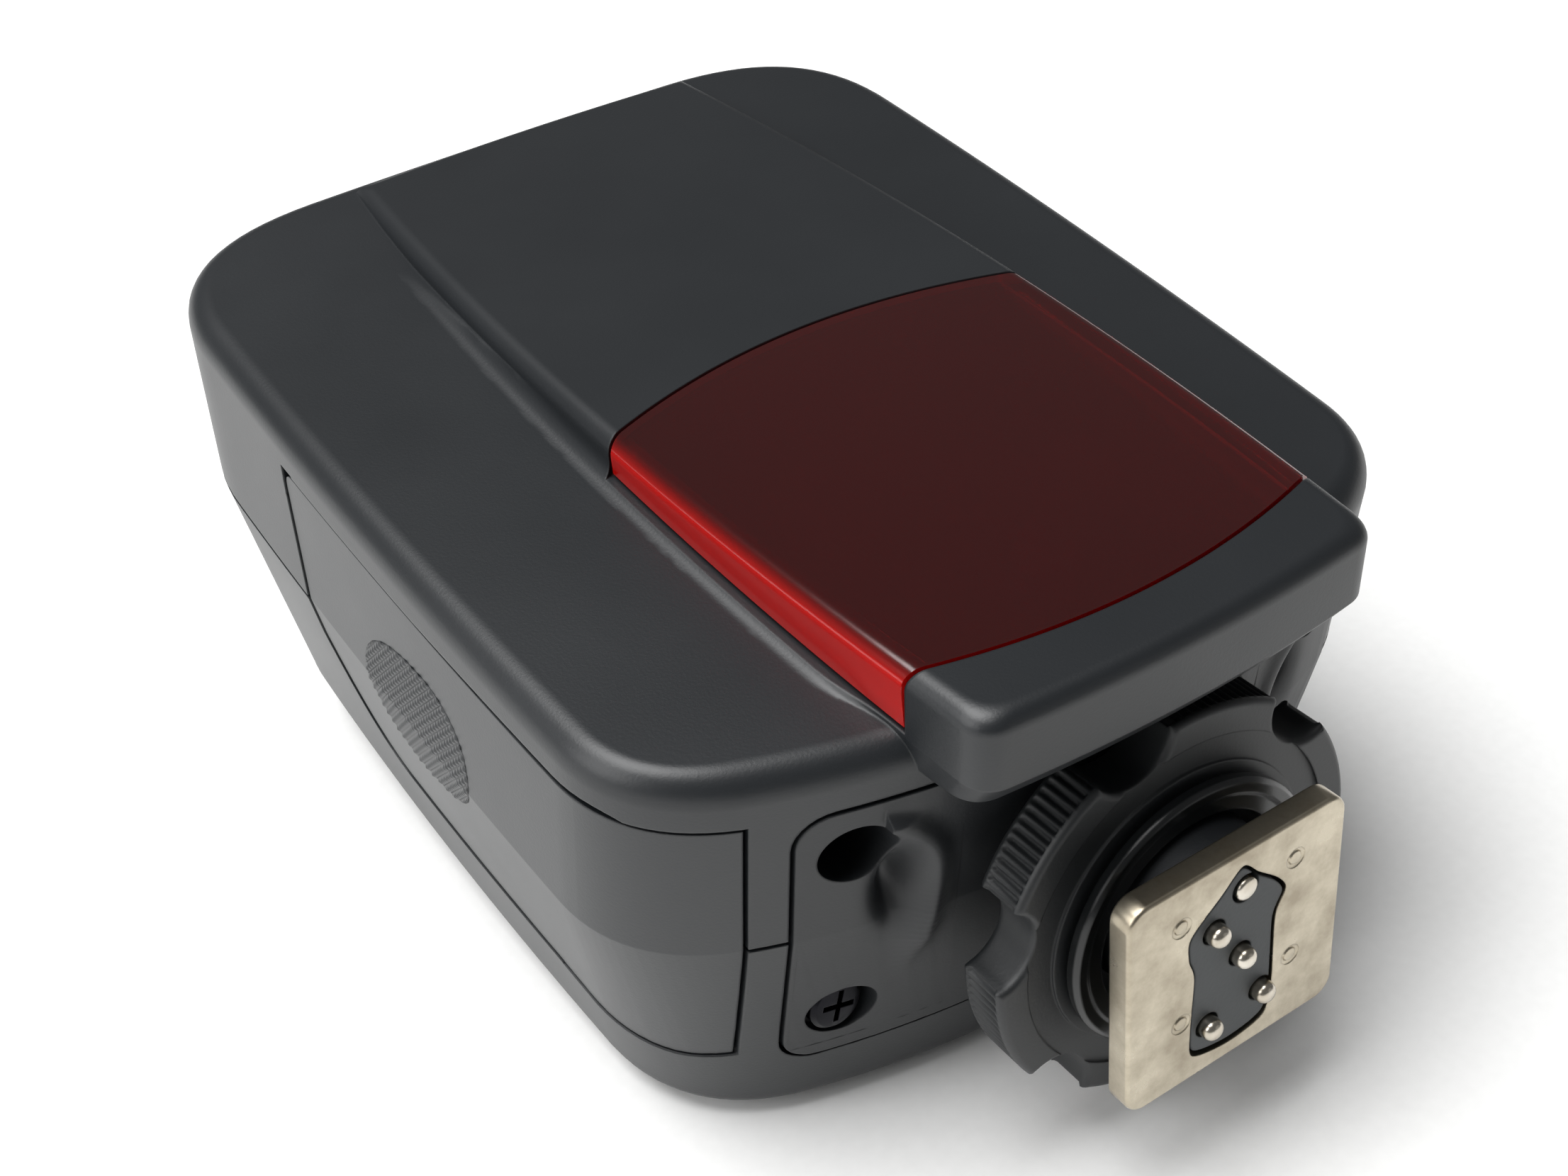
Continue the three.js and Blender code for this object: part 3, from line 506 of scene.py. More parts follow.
# ---- Signal window: a cap of clear deep red polycarbonate, moulded with polished faces, over the two
# focus lamps. It carries on the band's rounded edges and snaps into it from inside.
def red_polycarbonate():
    made = new_material("red_polycarbonate")
    place_at = node(made, "TexCoord").outputs["Object"]
    swirl = node(made, "TexNoise", Vector=place_at, Scale=38.0, Detail=3.0)
    tint = node(made, "Mix", {"data_type": "RGBA"}, _0=swirl.outputs["Fac"],
                _6=linear("#8a110d"), _7=linear("#700c09"))
    shine = node(made, "MapRange", Value=swirl.outputs["Fac"], _3=0.10, _4=0.17)
    orange_peel = node(made, "TexNoise", Vector=place_at, Scale=700.0, Detail=1.0)
    bump = node(made, "Bump", Strength=0.08, Distance=0.02 * MM, Height=orange_peel.outputs["Fac"])
    # Painted light: faces that turn away from the top are painted a brighter, saturated red (#d0140f),
    # standing for light that comes through the clear edge. Faces looking up keep the deeper tint.
    facing = node(made, "SeparateXYZ", Vector=node(made, "NewGeometry").outputs["Normal"])
    upward = node(made, "MapRange", Value=facing.outputs["Z"], _1=0.35, _2=0.95)
    painted_side_glow = node(made, "Mix", {"data_type": "RGBA"}, _0=upward.outputs[0],
                    _6=linear("#d0140f"), _7=tint.outputs[2])
    clear = node(made, "MapRange", Value=upward.outputs[0], _3=0.45, _4=0.9)
    shader = node(made, "BsdfPrincipled", Base_Color=painted_side_glow.outputs[2], Roughness=shine.outputs[0],
                  IOR=1.58, Transmission_Weight=clear.outputs[0], Normal=bump.outputs["Normal"])
    return finish_material(made, shader)


window_red = red_polycarbonate()
window = combine(band(0, bumper_bottom), band(wall - 0.4, bumper_bottom - 1, 0.6))
combine(window, window_region(-gap / 2), "INTERSECT")
window.name = "signal_window_cap"
shade(window, window_red)
place(window, "casing", "red_lens", "signal_window")


# ---- Rear shell: the other half of the casing, in the same ABS, drawn in towards the console. The
# console is a flat frame for the display and the keys, and is the face the trigger rests on.
console_near, console_far = foot_face + 25, foot_face + 86.5
display_y, display_wide, display_tall = foot_face + 64, 43.0, 25.4
key_y, key_xs, key_wide, key_tall = foot_face + 47, (-16.5, -5.5, 5.5, 16.5), 8.0, 4.0
pad_y, pad_radius, ok_radius = foot_face + 35, 7.4, 2.8
test_x, test_radius = 17.5, 3.4
light_y = pad_y + 6.2
switch_x = -17.0
case_screws = [(x, foot_face + y) for x, y in ((-9.5, 21.2), (21, 22.8), (-21, 83), (21, 83))]


def inset_outline(outline, amount):
    """Moves a closed counterclockwise outline inwards."""
    ahead, behind = np.roll(outline, -1, 0), np.roll(outline, 1, 0)
    along = ahead - behind
    along /= np.linalg.norm(along, axis=1, keepdims=True)
    return outline + amount * np.column_stack([-along[:, 1], along[:, 0]])


def plate(outline, z0, z1, low_edge=0.0, high_edge=0.0, steps=5):
    """A plate between two heights, with its lower and upper edges rounded by the given radii."""
    rings = []
    for angle in np.radians(np.linspace(90, 0, steps if low_edge else 1)):
        rings.append(ring(inset_outline(outline, low_edge * (1 - math.cos(angle))),
                          z0 + low_edge * (1 - math.sin(angle))))
    for angle in np.radians(np.linspace(0, 90, steps if high_edge else 1)):
        rings.append(ring(inset_outline(outline, high_edge * (1 - math.cos(angle))),
                          z1 - high_edge * (1 - math.sin(angle))))
    return loft("plate", rings)


def circle(radius, x=0.0, y=0.0, sides=64):
    angles = np.linspace(0, 2 * math.pi, sides, endpoint=False)
    return np.column_stack([x + radius * np.cos(angles), y + radius * np.sin(angles)])


console = rounded_rectangle(50, console_far - console_near, 5, 0, (console_near + console_far) / 2)
rear = combine(lower_body(0, -gap / 2), plate(console, 0, 7, low_edge=0.7), "UNION")
hollow = combine(lower_body(wall, 6), block(-half, half, foot_face, far_end, -5, 3.4))
combine(rear, hollow)
combine(rear, door_region(gap / 2))
combine(rear, combine(bracket_plate(gap), skin_block(wall + 1.4)))
combine(rear, plate(rounded_rectangle(display_wide + 0.6, display_tall + 0.6, 2, 0, display_y), -1, 12))
combine(rear, rod(pad_radius + 0.35, (0, pad_y), -1, 12))
combine(rear, rod(test_radius + 0.35, (test_x, pad_y), -1, 12))
combine(rear, rod(1.2, (test_x, light_y), -1, 12, sides=32))
combine(rear, block(switch_x - 5.4, switch_x + 5.4, pad_y - 2.3, pad_y + 2.3, -1, 12))
for x in key_xs:
    combine(rear, plate(rounded_rectangle(key_wide + 0.7, key_tall + 0.7, 1.3, x, key_y), -1, 12))
for x, y in case_screws:
    combine(rear, rod(2.5, (x, y), -1, 4.6))
    combine(rear, rod(1.4, (x, y), 4, 12, sides=32))
rear.name = "rear_shell_moulding"
shade(rear, casing_abs)
place(rear, "casing", "black_plastic", "rear_shell")


# ---- Battery door: a separate ABS moulding that wraps round the corner. It slides towards the foot
# and swings on a pin in its front edge. A blunt oval of small pyramids gives the thumb its grip.
door = skin_block(0.1)
combine(door, skin_block(wall - 0.2))
combine(door, door_region(-gap / 2), "INTERSECT")
door_slide = 4.0
for start, end in lug_spans:
    combine(door, in_hinge(block(-0.7, 4, start - 0.3, end + door_slide + 0.3, -1.15, 3)))
knuckle = rod(0.95, (0, 0), lug_spans[0][1] + door_slide + 0.5, lug_spans[1][0] - 0.4, "Y", 32)
combine(door, in_hinge(knuckle), "UNION")
combine(door, in_hinge(rod(0.55, (0, 0), -18, 16, "Y", 24)))
door.name = "battery_door_moulding"
shade(door, door_abs)
place(door, "door", "black_plastic", "battery_door")

# The grip lies on the door's face: a grid of points is dropped onto it along X, and each point is
# lifted by its height on a pattern of pyramids, which fades out at the rim.
bpy.context.view_layer.update()
face = BVHTree.FromObject(door, bpy.context.evaluated_depsgraph_get())
grip_y, grip_z, grip_long, grip_tall, pyramid = foot_face + 47, 24.5, 15.6, 12.2, 1.0
columns, rows = 172, 134
lifted, faces = [], []
kept = {}
for i in range(columns):
    for j in range(rows):
        u, v = 2 * i / (columns - 1) - 1, 2 * j / (rows - 1) - 1
        rim = 1 - (abs(u) ** 2.3 + abs(v + 0.16 * u) ** 2.3)
        if rim < 0:
            continue
        y, z = grip_y + u * grip_long / 2, grip_z + v * grip_tall / 2
        slope_a = abs(((y + z) / pyramid) % 1 - 0.5)
        slope_b = abs(((y - z) / pyramid) % 1 - 0.5)
        peak = 0.17 * (1 - 2 * max(slope_a, slope_b)) * min(1.0, rim / 0.06)
        hit = face.ray_cast(Vector((-0.1, y * MM, z * MM)), Vector((1, 0, 0)))
        kept[i, j] = len(lifted)
        lifted.append(hit[0] / MM + hit[1] * (peak + 0.005))
for i, j in kept:
    corners = [(i, j), (i, j + 1), (i + 1, j + 1), (i + 1, j)]
    if all(c in kept for c in corners):
        faces.append([kept[c] for c in corners])
grip = add_object("door_grip", lifted, faces)
backing = grip.modifiers.new("backing", "SOLIDIFY")
backing.thickness = 0.12 * MM
backing.offset = -1
grip.data.materials.append(door_abs)
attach(grip, "door")


# ---- Hinge pin: a length of drawn stainless wire that the door turns on.
def turned(profile, sides=48):
    """A solid turned about Z from radius and height pairs, lowest first."""
    return loft("turned", [ring(circle(max(r, 0.004), sides=sides), h) for r, h in profile])


def to_y(made, x=0.0, y=0.0, z=0.0, frame_matrix=shoe):
    """Lays a turned piece along +Y at a place in the shoe's or the hinge's frame."""
    lay = Matrix.Rotation(-math.pi / 2, 4, "X")
    made.data.transform(frame_matrix @ Matrix.Translation(Vector((x, y, z)) * MM) @ lay)
    return made


def plated_metal(name, base, tarnish, roughness, patch_scale=140.0):
    """Plated metal: bright, with cloudy tarnish, fine scratches and a softened edge."""
    made = new_material(name)
    place_at = node(made, "TexCoord").outputs["Object"]
    cloud = node(made, "TexNoise", Vector=place_at, Scale=patch_scale, Detail=6.0, Roughness=0.62)
    spread = node(made, "MapRange", Value=cloud.outputs["Fac"], _1=0.36, _2=0.66)
    tone = node(made, "Mix", {"data_type": "RGBA"}, _0=spread.outputs[0],
                _6=linear(base), _7=linear(tarnish))
    shine = node(made, "MapRange", Value=cloud.outputs["Fac"], _3=roughness - 0.07, _4=roughness + 0.13)
    scratch = node(made, "TexNoise", Vector=place_at, Scale=1 / (0.35 * MM), Detail=4.0)
    soft_edge = node(made, "Bevel", {"samples": 4}, Radius=0.12 * MM)
    bump = node(made, "Bump", Strength=0.25, Distance=0.012 * MM, Height=scratch.outputs["Fac"],
                Normal=soft_edge.outputs["Normal"])
    shader = node(made, "BsdfPrincipled", Base_Color=tone.outputs[2], Metallic=1.0,
                  Roughness=shine.outputs[0], Normal=bump.outputs["Normal"])
    return finish_material(made, shader)


drawn_steel = plated_metal("drawn_stainless_steel", "#b4b3b0", "#8f8e8b", 0.28)
pin = to_y(turned([(0.32, -12.8), (0.4, -12.7), (0.4, 14.3), (0.32, 14.4)], 24), frame_matrix=hinge)
pin.name = "door_hinge_wire"
shade(pin, drawn_steel)
place(pin, "hinge_pin", "steel", "door_hinge_pin")


# ---- Foot bracket: a heavier ABS moulding screwed into the foot end, which carries the hot shoe's
# stem. Beside the ring its face sinks into a soft hollow behind a lip that bows towards the ring.
stem_x, stem_z = 0.3, 0.5
ring_radius = 15.3
bracket_screws = [(side * 19.9, z) for side in (-1, 1) for z in (11.2, -5.8)]
lip_line = np.concatenate([curve([(15.9, -4), (14.6, 4), (14.9, 8)], 24),
                           curve([(14.9, 8), (15.2, 12.0), (19.4, 14.4)], 24)])


def face_shape(x, z):
    """How far the bracket's face sinks at a place beside the ring: a hollow less the bowed lip."""
    across = float(np.min(np.hypot(lip_line[:, 0] - x, lip_line[:, 1] - z)))
    fade = min(1.0, max(0.0, (z + 4.5) / 5.5)) * min(1.0, max(0.0, (15.0 - z) / 1.6))
    lip = 1.0 * math.exp(-(across / 1.15) ** 2) * fade ** 2
    hollow = 2.6 * math.exp(-((x - 16.6) / 1.5) ** 2 - ((z - 6.6) / 3.0) ** 2)
    return hollow - lip


def cutter(side, face_tree):
    """Everything in front of the bracket's face beside the ring, over a fine grid."""
    xs, zs = np.linspace(12.2, 23.4, 76), np.linspace(-9.4, 16.4, 170)
    inward = shoe.to_3x3() @ Vector((0, 1, 0))
    points = []
    for x in xs:
        for z in zs:
            start = shoe @ (Vector((side * x, -8, z)) * MM)
            hit = face_tree.ray_cast(start, inward)
            sunk = (shoe.inverted() @ hit[0]).y / MM + face_shape(x, z)
            points.append((side * x, sunk, z))
    across, count = len(zs), len(points)
    points += [(x, 1.0, z) for x, y, z in points]
    quads = [(i * across + j, i * across + j + 1, (i + 1) * across + j + 1, (i + 1) * across + j)
             for i in range(len(xs) - 1) for j in range(across - 1)]
    border = ([i * across for i in range(len(xs) - 1)]
              + [(len(xs) - 1) * across + j for j in range(across - 1)]
              + [i * across + across - 1 for i in range(len(xs) - 1, 0, -1)]
              + [j for j in range(across - 1, 0, -1)])
    walls = [(a, b, b + count, a + count) for a, b in zip(border, border[1:] + border[:1])]
    faces = quads + [tuple(i + count for i in reversed(q)) for q in quads] + walls
    return in_shoe(close(add_object("cutter", points, faces)))


def close(made):
    """Turns every face of a closed mesh outwards."""
    work = bmesh.new()
    work.from_mesh(made.data)
    bmesh.ops.recalc_face_normals(work, faces=work.faces)
    work.to_mesh(made.data)
    work.free()
    return made


whole = skin_block(-0.1)
bpy.context.view_layer.update()
face_tree = BVHTree.FromObject(whole, bpy.context.evaluated_depsgraph_get())
bracket = combine(bracket_plate(0), whole, "INTERSECT")
combine(bracket, skin_block(wall))
for x, z in bracket_screws:
    tube = combine(in_shoe(rod(3.6, (z, x), 6, 20.6, "Y")), skin_block(0.5), "INTERSECT")
    combine(bracket, tube, "UNION")
for side in (-1, 1):
    pad = in_shoe(block(min(side * 12.8, side * 18.2), max(side * 12.8, side * 18.2), 9.6, 17, -8.4, 14.9))
    combine(bracket, pad, "UNION")
    combine(bracket, cutter(side, face_tree))
for x, z in bracket_screws:
    combine(bracket, in_shoe(rod(2.5, (z, x), 6, 19.2, "Y")))
    combine(bracket, in_shoe(rod(1.4, (z, x), 18, 22, "Y", 24)))
combine(bracket, in_shoe(rod(8.6, (stem_z, stem_x), 2, 30, "Y", 96)))
combine(bracket, in_shoe(rod(1.6, (10.2, 0), 5, 13.5, "Y", 32)))
combine(bracket, in_shoe(rod(ring_radius + 1, (stem_z, stem_x), 2, 10.2, "Y", 120)))
bracket.name = "foot_bracket_moulding"
shade(bracket, bracket_abs)
place(bracket, "casing", "black_plastic", "foot_bracket")


# ---- Screws: black-oxide steel with a cross recess, sunk in the bracket and in the rear shell. A
# smaller one stops the ring.
oxide_steel = plated_metal("black_oxide_steel", "#26262a", "#19191b", 0.36)


def screw(head, head_tall, shank, whole, recess=0.42):
    """A pan-head screw, its head down at zero and its point up, with a cross recess."""
    made = turned([(head * 0.6, 0), (head * 0.86, 0.12), (head, 0.42), (head, head_tall),
                   (shank, head_tall), (shank, whole - 0.6), (0, whole)], 36)
    for turn in (0, 90):
        slot = block(-head * 0.62, head * 0.62, -0.22, 0.22, -0.1, recess * 2)
        slot.data.transform(Matrix.Rotation(math.radians(turn + 17), 4, "Z"))
        combine(made, slot)
    return made


for i, (x, z) in enumerate(bracket_screws):
    made = to_y(screw(2.1, 1.3, 1.1, 4.2), x, 17.4, z)
    made.name = f"bracket_pan_screw_{i + 1}"
    shade(made, oxide_steel)
    place(made, "casing", "steel", f"bracket_screw_{i + 1}")
for i, (x, y) in enumerate(case_screws):
    made = screw(2.1, 1.2, 1.1, 7.6)
    made.data.transform(Matrix.Translation(Vector((x, y, 2.4)) * MM))
    made.name = f"case_pan_screw_{i + 1}"
    shade(made, oxide_steel)
    place(made, "casing", "steel", f"case_screw_{i + 1}")
stop = to_y(screw(1.3, 0.9, 1.0, 2.6, 0.25), 0, 10.6, 10.2)
stop.name = "ring_stop_screw"
shade(stop, oxide_steel)
place(stop, "casing", "steel", "stop_screw")


# ---- Foot plate: stamped steel with satin nickel plating, a little tarnished, with a folded-looking
# bright edge and four marks where rivets hold it to the stem.
foot_wide, foot_deep, foot_thick = 18.6, 18.2, 1.9
insulator_points = [(-3.6, -7), (-3.9, -4.5), (-3.7, 0.3), (-4.2, 2.2), (-4.1, 4.2), (-1.6, 6.4), (0.2, 7.9),
                    (1.6, 6.6), (3.4, 5), (4.2, 3.6), (3.4, 1.6), (3.4, -4.4), (2.8, -7.2), (-0.4, -7.8)]


def insulator_outline(scale, steps=7):
    """A smooth closed curve through the insulator's points, counterclockwise in X and Z."""
    known = np.array(insulator_points)[::-1] * scale
    points = []
    for k in range(len(known)):
        before, here, after, beyond = (known[(k + d) % len(known)] for d in (-1, 0, 1, 2))
        for t in np.linspace(0, 1, steps, endpoint=False):
            pull_a, pull_b = 0.4 * (after - before), 0.4 * (beyond - here)
            points.append((2 * t ** 3 - 3 * t ** 2 + 1) * here + (t ** 3 - 2 * t ** 2 + t) * pull_a
                          + (3 * t ** 2 - 2 * t ** 3) * after + (t ** 3 - t ** 2) * pull_b)
    return np.array(points)


def in_face(made):
    """Turns a plate drawn in X, Y and Z so that its Y runs along Z and its rise along -Y."""
    made.data.transform(Matrix(((1, 0, 0, 0), (0, 0, -1, 0), (0, 1, 0, 0), (0, 0, 0, 1))))
    return in_shoe(made)


nickel = plated_metal("satin_nickel_plate", "#c0b7a4", "#9a907e", 0.27, patch_scale=260.0)
foot = plate(rounded_rectangle(foot_wide, foot_deep, 1.6, steps=12), -foot_thick, 0, 0.15, 0.3, 4)
combine(foot, plate(insulator_outline(1), -5, 1))
for x, z in ((-4.9, 5.6), (4.9, 5.8), (-4.7, -3.2), (5.0, -3.0)):
    mark = turned([(0.62, -0.14), (0.82, -0.05), (0.84, 0.1)], 32)
    combine(mark, turned([(0.6, -0.2), (0.48, -0.02), (0.3, 0.02), (0.0, 0.03)], 32))
    mark.data.transform(Matrix.Translation(Vector((x, z, 0)) * MM))
    combine(foot, mark)
in_face(foot)
foot.name = "foot_plate_stamping"
shade(foot, nickel, 40)
place(foot, "casing", "nickel", "foot_plate")


# ---- Foot insulator and contacts: a grey-black glass-filled nylon insert with four nickel-plated
# contact pins on springs, and the lock pin that the ring pushes out.
nylon = moulded_abs("glass_filled_nylon", "#2c3033", "#34383a", 0.5, grain_mm=0.3, grain_depth=0.03)
pins = {"center": (0.4, 0), "monitor": (-2, 3.4), "ready": (2.4, -4.5), "quench": (-2.3, -4.9)}
lock_pin_at = (0.6, 5.7)
insert = plate(insulator_outline(0.955), -foot_thick, -0.1, 0, 0.12, 3)
stem = plate(rounded_rectangle(12.4, 14.4, 6.1, stem_x, stem_z, 16), -21, -foot_thick - gap, 0, 0.3, 3)
for x, z in pins.values():
    combine(insert, rod(1.0, (x, z), -5, 1))
    combine(stem, rod(1.0, (x, z), -7.5, 0))
combine(insert, rod(1.15, lock_pin_at, -5, 1))
combine(stem, rod(1.15, lock_pin_at, -7.5, 0))
for made, name, material, node_name, slot_name in (
        (insert, "foot_insert", nylon, "foot_insulator", "inner_plastic"),
        (stem, "foot_stem_moulding", bracket_abs, "foot_stem", "black_plastic")):
    in_face(made)
    made.name = name
    shade(made, material)
    place(made, "casing", slot_name, node_name)
bright_nickel = plated_metal("bright_nickel_plate", "#d9d3c8", "#b3aa9a", 0.2, patch_scale=300.0)
for name, (x, z) in pins.items():
    made = to_y(turned([(0.0, 0), (0.3, 0.02), (0.5, 0.08), (0.68, 0.22), (0.79, 0.42), (0.82, 0.6),
                        (0.82, 5)], 40), x, -1, z)
    made.name = f"contact_plunger_{name}"
    shade(made, bright_nickel, 50)
    place(made, f"pin_{name}", "nickel", f"contact_pin_{name}")
lock = to_y(turned([(0.0, 0), (0.62, 0), (0.82, 0.07), (0.9, 0.24), (0.9, 5.6)], 40),
            lock_pin_at[0], -0.2, lock_pin_at[1])
lock.name = "lock_plunger"
shade(lock, bright_nickel, 50)
place(lock, "lock_pin_body", "nickel", "lock_pin")


# ---- Lock ring and pressure disc: a knurled ABS ring with six finger notches turns on the stem and
# drives a polished disc down onto the camera's rails.
ring_front, ring_back, ring_bore = 5.7, 9.7, 7.9
notch_radius, notch_reach = 3.3, ring_radius + 0.7
teeth = 132


def ring_edge(shrink, knurl):
    """The ring's outer edge: round, with six round notches, and fine teeth between them."""
    points = []
    for angle in np.linspace(0, 2 * math.pi, 1056, endpoint=False):
        from_notch = (angle - math.radians(45) + math.pi / 6) % (math.pi / 3) - math.pi / 6
        r = ring_radius - shrink - knurl * (0.5 + 0.5 * math.cos(teeth * angle))
        across = notch_reach * math.sin(from_notch)
        grown = notch_radius + shrink
        if abs(across) < grown:
            r = min(r, notch_reach * math.cos(from_notch) - math.sqrt(grown ** 2 - across ** 2))
        points.append((stem_x + r * math.cos(angle), stem_z + r * math.sin(angle)))
    return np.array(points)


def ring_levels():
    edge = 0.5
    for angle in np.radians(np.linspace(90, 0, 5)):
        yield edge * (1 - math.cos(angle)), 0.0, -ring_back + edge * (1 - math.sin(angle))
    yield 0.0, 0.3, -ring_back + 0.75
    yield 0.0, 0.3, -ring_front - 0.75
    for angle in np.radians(np.linspace(0, 90, 5)):
        yield edge * (1 - math.cos(angle)), 0.0, -ring_front - edge * (1 - math.sin(angle))


rim = [ring(ring_edge(shrink, knurl), z) for shrink, knurl, z in ring_levels()]
lock_ring = loft("lock_ring_moulding", rim)
combine(lock_ring, rod(ring_bore, (stem_x, stem_z), -12, 0, sides=96))
combine(lock_ring, combine(rod(13.0, (stem_x, stem_z), -ring_front - 0.25, 0, sides=96),
                           rod(10.9, (stem_x, stem_z), -ring_front - 1, 1, sides=96)))
in_face(lock_ring)
ring_abs = moulded_abs("moulded_abs_ring", "#111315", "#181b1d", 0.48, dust=0.6)
shade(lock_ring, ring_abs, 38)
place(lock_ring, "ring", "black_plastic", "lock_ring")

disc_front = 4.2
disc_abs = moulded_abs("polished_abs_disc", "#0b0c0d", "#101213", 0.2, grain_depth=0.006)
disc = turned([(9.9, -disc_front - 1.2), (10.3, -disc_front - 0.9), (10.3, -disc_front - 0.3),
               (10.0, -disc_front), (9.3, -disc_front), (9.0, -disc_front - 0.25)], 128)
combine(disc, rod(ring_bore, (0, 0), -8, 0, sides=96))
disc.data.transform(Matrix.Translation(Vector((stem_x, stem_z, 0)) * MM))
in_face(disc)
disc.name = "pressure_disc_moulding"
shade(disc, disc_abs)
place(disc, "clamp", "gloss_black", "pressure_disc")


# ---- Display: a liquid crystal module behind a polished acrylic window with a printed black border.
acrylic = moulded_abs("smoked_acrylic", "#0b0c0d", "#111314", 0.12, grain_depth=0.001)
pane = plate(rounded_rectangle(display_wide, display_tall, 1.7, 0, display_y), 0.4, 1.6, 0.2, 0.1)
pane.name = "display_pane"
shade(pane, acrylic)
place(pane, "casing", "gloss_black", "display_window")
glass_grey = moulded_abs("display_polariser", "#66705f", "#6d7766", 0.2, grain_depth=0.002)
viewing = plate(rounded_rectangle(34, 17, 0.8, 0, display_y + 1.2), 0.28, 0.42)
viewing.name = "display_viewing_area"
shade(viewing, glass_grey)
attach(viewing, "casing")


# ---- Keys: grey ABS caps over a rubber keypad, four under the display, a ring-shaped pad with an
# inner key, a test button, a power slide and a small status light.
key_abs = moulded_abs("moulded_abs_keys", "#3c3f42", "#45484b", 0.46)
key_tip, key_top = 0.5, 5.2


def key(name, outline, body, node_name, material=key_abs, slot_name="key_plastic"):
    made = plate(outline, key_tip, key_top, 0.35)
    made.name = name
    shade(made, material)
    place(made, body, slot_name, node_name)
    return made


for i, x in enumerate(key_xs):
    key(f"key_cap_{i + 1}", rounded_rectangle(key_wide, key_tall, 1, x, key_y), f"key_{i + 1}",
        f"function_key_{i + 1}")
key("ok_cap", circle(ok_radius, 0, pad_y), "ok", "ok_key")
key("test_cap", circle(test_radius, test_x, pad_y), "test", "test_button")
key("status_light_pipe", circle(0.9, test_x, light_y, 32), "casing", "status_light", window_red, "red_lens")
pad = plate(circle(pad_radius, 0, pad_y, 96), key_tip, key_top, 0.5)
combine(pad, rod(ok_radius + 0.35, (0, pad_y), -1, 8))
for turn in range(4):
    arrow = plate(np.array([(-0.9, 0), (0.9, 0), (0, 1.1)]), key_tip - 0.3, key_tip + 0.15)
    arrow.data.transform(Matrix.Translation(Vector((0, pad_y, 0)) * MM)
                         @ Matrix.Rotation(turn * math.pi / 2, 4, "Z")
                         @ Matrix.Translation(Vector((0, 4.7, 0)) * MM))
    combine(pad, arrow)
pad.name = "direction_pad_cap"
shade(pad, key_abs)
place(pad, "pad", "key_plastic", "direction_pad")
switch_rest = switch_x - 2.6
slider = plate(rounded_rectangle(4.4, 4.0, 0.4, switch_rest, pad_y), 1.5, 5.4, 0.15)
for step in (-1.2, -0.4, 0.4, 1.2):
    rib = plate(rounded_rectangle(0.45, 3.6, 0.2, switch_rest + step, pad_y), key_tip, 1.7, 0.12)
    combine(slider, rib, "UNION")
slider.name = "power_slide_cap"
shade(slider, key_abs)
place(slider, "switch", "key_plastic", "power_switch")


# ---- Cells: two alkaline cells in plain printed sleeves, one each way round, with bright end caps.
bay = Matrix.Translation(Vector((-21.5, foot_face + 26.4, 21)) * MM) @ Matrix.Rotation(0.06, 4, "X")


def sleeve_print():
    """Plain lacquered sleeve: dark, with a faint fleck, and no lettering."""
    made = new_material("lacquered_cell_sleeve")
    place_at = node(made, "TexCoord").outputs["Object"]
    fleck = node(made, "TexNoise", Vector=place_at, Scale=600.0, Detail=2.0)
    tone = node(made, "Mix", {"data_type": "RGBA"}, _0=fleck.outputs["Fac"],
                _6=linear("#26292d"), _7=linear("#2e3236"))
    shader = node(made, "BsdfPrincipled", Base_Color=tone.outputs[2], Roughness=0.3, Coat_Weight=0.5)
    return finish_material(made, shader)


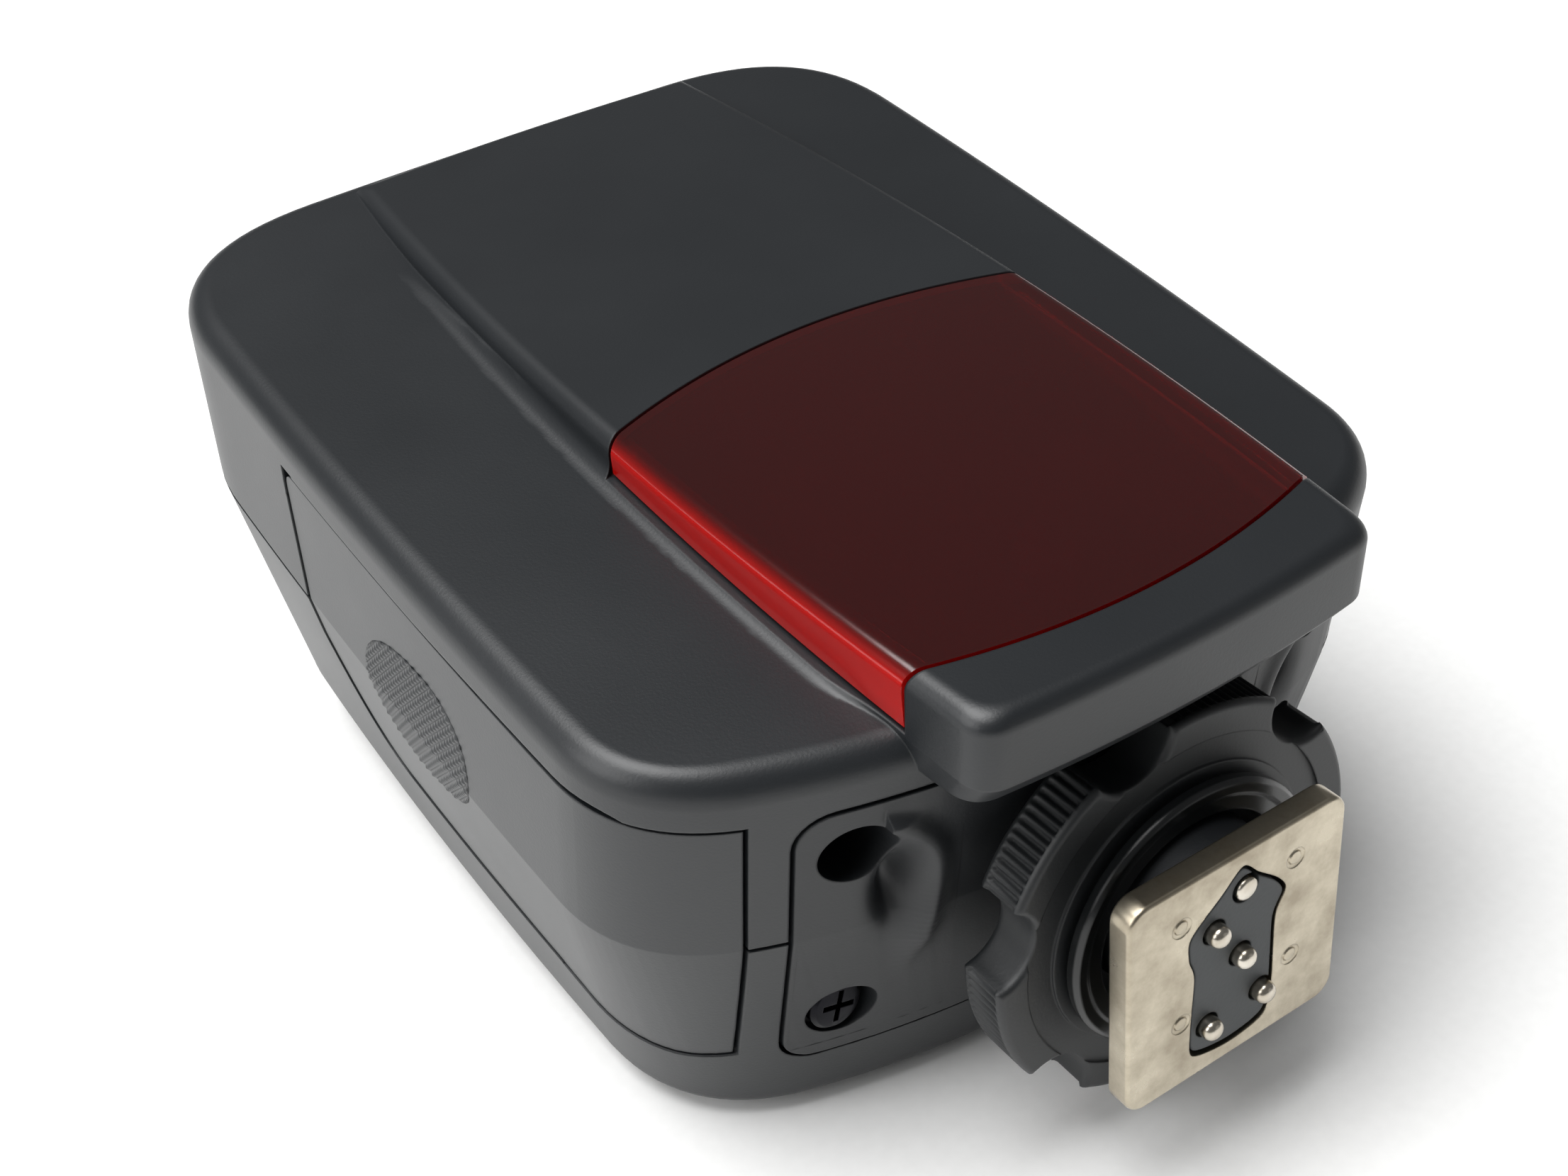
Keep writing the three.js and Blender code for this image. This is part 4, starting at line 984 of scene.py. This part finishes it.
sleeve = sleeve_print()
sleeve_end = 50.3
for name, x, start, z, turn in (("upper", -0.6, 0.3, 7.45, False), ("lower", 0.6, 51.0, -7.45, True)):
    can = turned([(6.5, 0), (6.9, 0.1), (7.25, 0.6), (7.25, 49.9), (6.8, 50.4), (6.2, 50.5), (2.75, 50.5),
                  (2.75, 51.5), (2.5, 51.7)], 96)
    if turn:
        can.data.transform(Matrix.Rotation(math.pi, 4, "X"))
    to_y(can, x, start, z, bay)
    can.name = f"alkaline_cell_{name}"
    shade(can, sleeve)
    can.data.materials.append(drawn_steel)
    for polygon in can.data.polygons:
        along = (bay.inverted() @ polygon.center).y / MM - start
        along = -along if turn else along
        polygon.material_index = 1 if along < 0.3 or along > sleeve_end else 0
    place(can, "casing", "cell_can", f"battery_cell_{name}")


# ---- Inside pieces that keep their shape: boards, contacts, springs, lamps and holders get the
# finish of the real ones.
def solder_mask():
    """Green solder mask over glass fibre laminate, with faint copper tracks beneath."""
    made = new_material("solder_mask_on_laminate")
    place_at = node(made, "TexCoord").outputs["Object"]
    tracks = node(made, "TexBrick", Vector=place_at, Scale=120.0, Mortar_Size=0.03,
                  Color1=linear("#1d5236"), Color2=linear("#1a4a31"), Mortar=linear("#2f6b48"))
    grain = node(made, "TexNoise", Vector=place_at, Scale=3000.0)
    bump = node(made, "Bump", Strength=0.2, Distance=0.02 * MM, Height=grain.outputs["Fac"])
    shader = node(made, "BsdfPrincipled", Base_Color=tracks.outputs["Color"], Roughness=0.35,
                  Normal=bump.outputs["Normal"])
    return finish_material(made, shader)


inner_abs = moulded_abs("moulded_abs_inside", "#1b1d1f", "#222426", 0.55)
keypad_rubber = moulded_abs("silicone_rubber", "#232323", "#2b2b2b", 0.7, grain_mm=0.4)
spring_brass = plated_metal("bright_brass", "#c9a557", "#a8853d", 0.25)
module_can = plated_metal("tinned_steel_can", "#bdbcb6", "#9a9992", 0.35)
laminate = solder_mask()
for material, names in (
        (laminate, ("main_board", "control_board")),
        (inner_abs, ("battery_tray", "lamp_holder", "remote_jack")),
        (keypad_rubber, ("keypad_membrane",)),
        (glass_grey, ("display_module",)),
        (spring_brass, ("contact_bridge", "contact_plate_plus", "contact_plate_minus", "antenna")),
        (drawn_steel, ("contact_spring_near", "contact_spring_far")),
        (module_can, ("radio_module",)),
        (window_red, ("focus_lamp_left", "focus_lamp_right"))):
    for name in names:
        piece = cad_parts[name]
        piece.data.materials.clear()
        piece.data.materials.append(material)
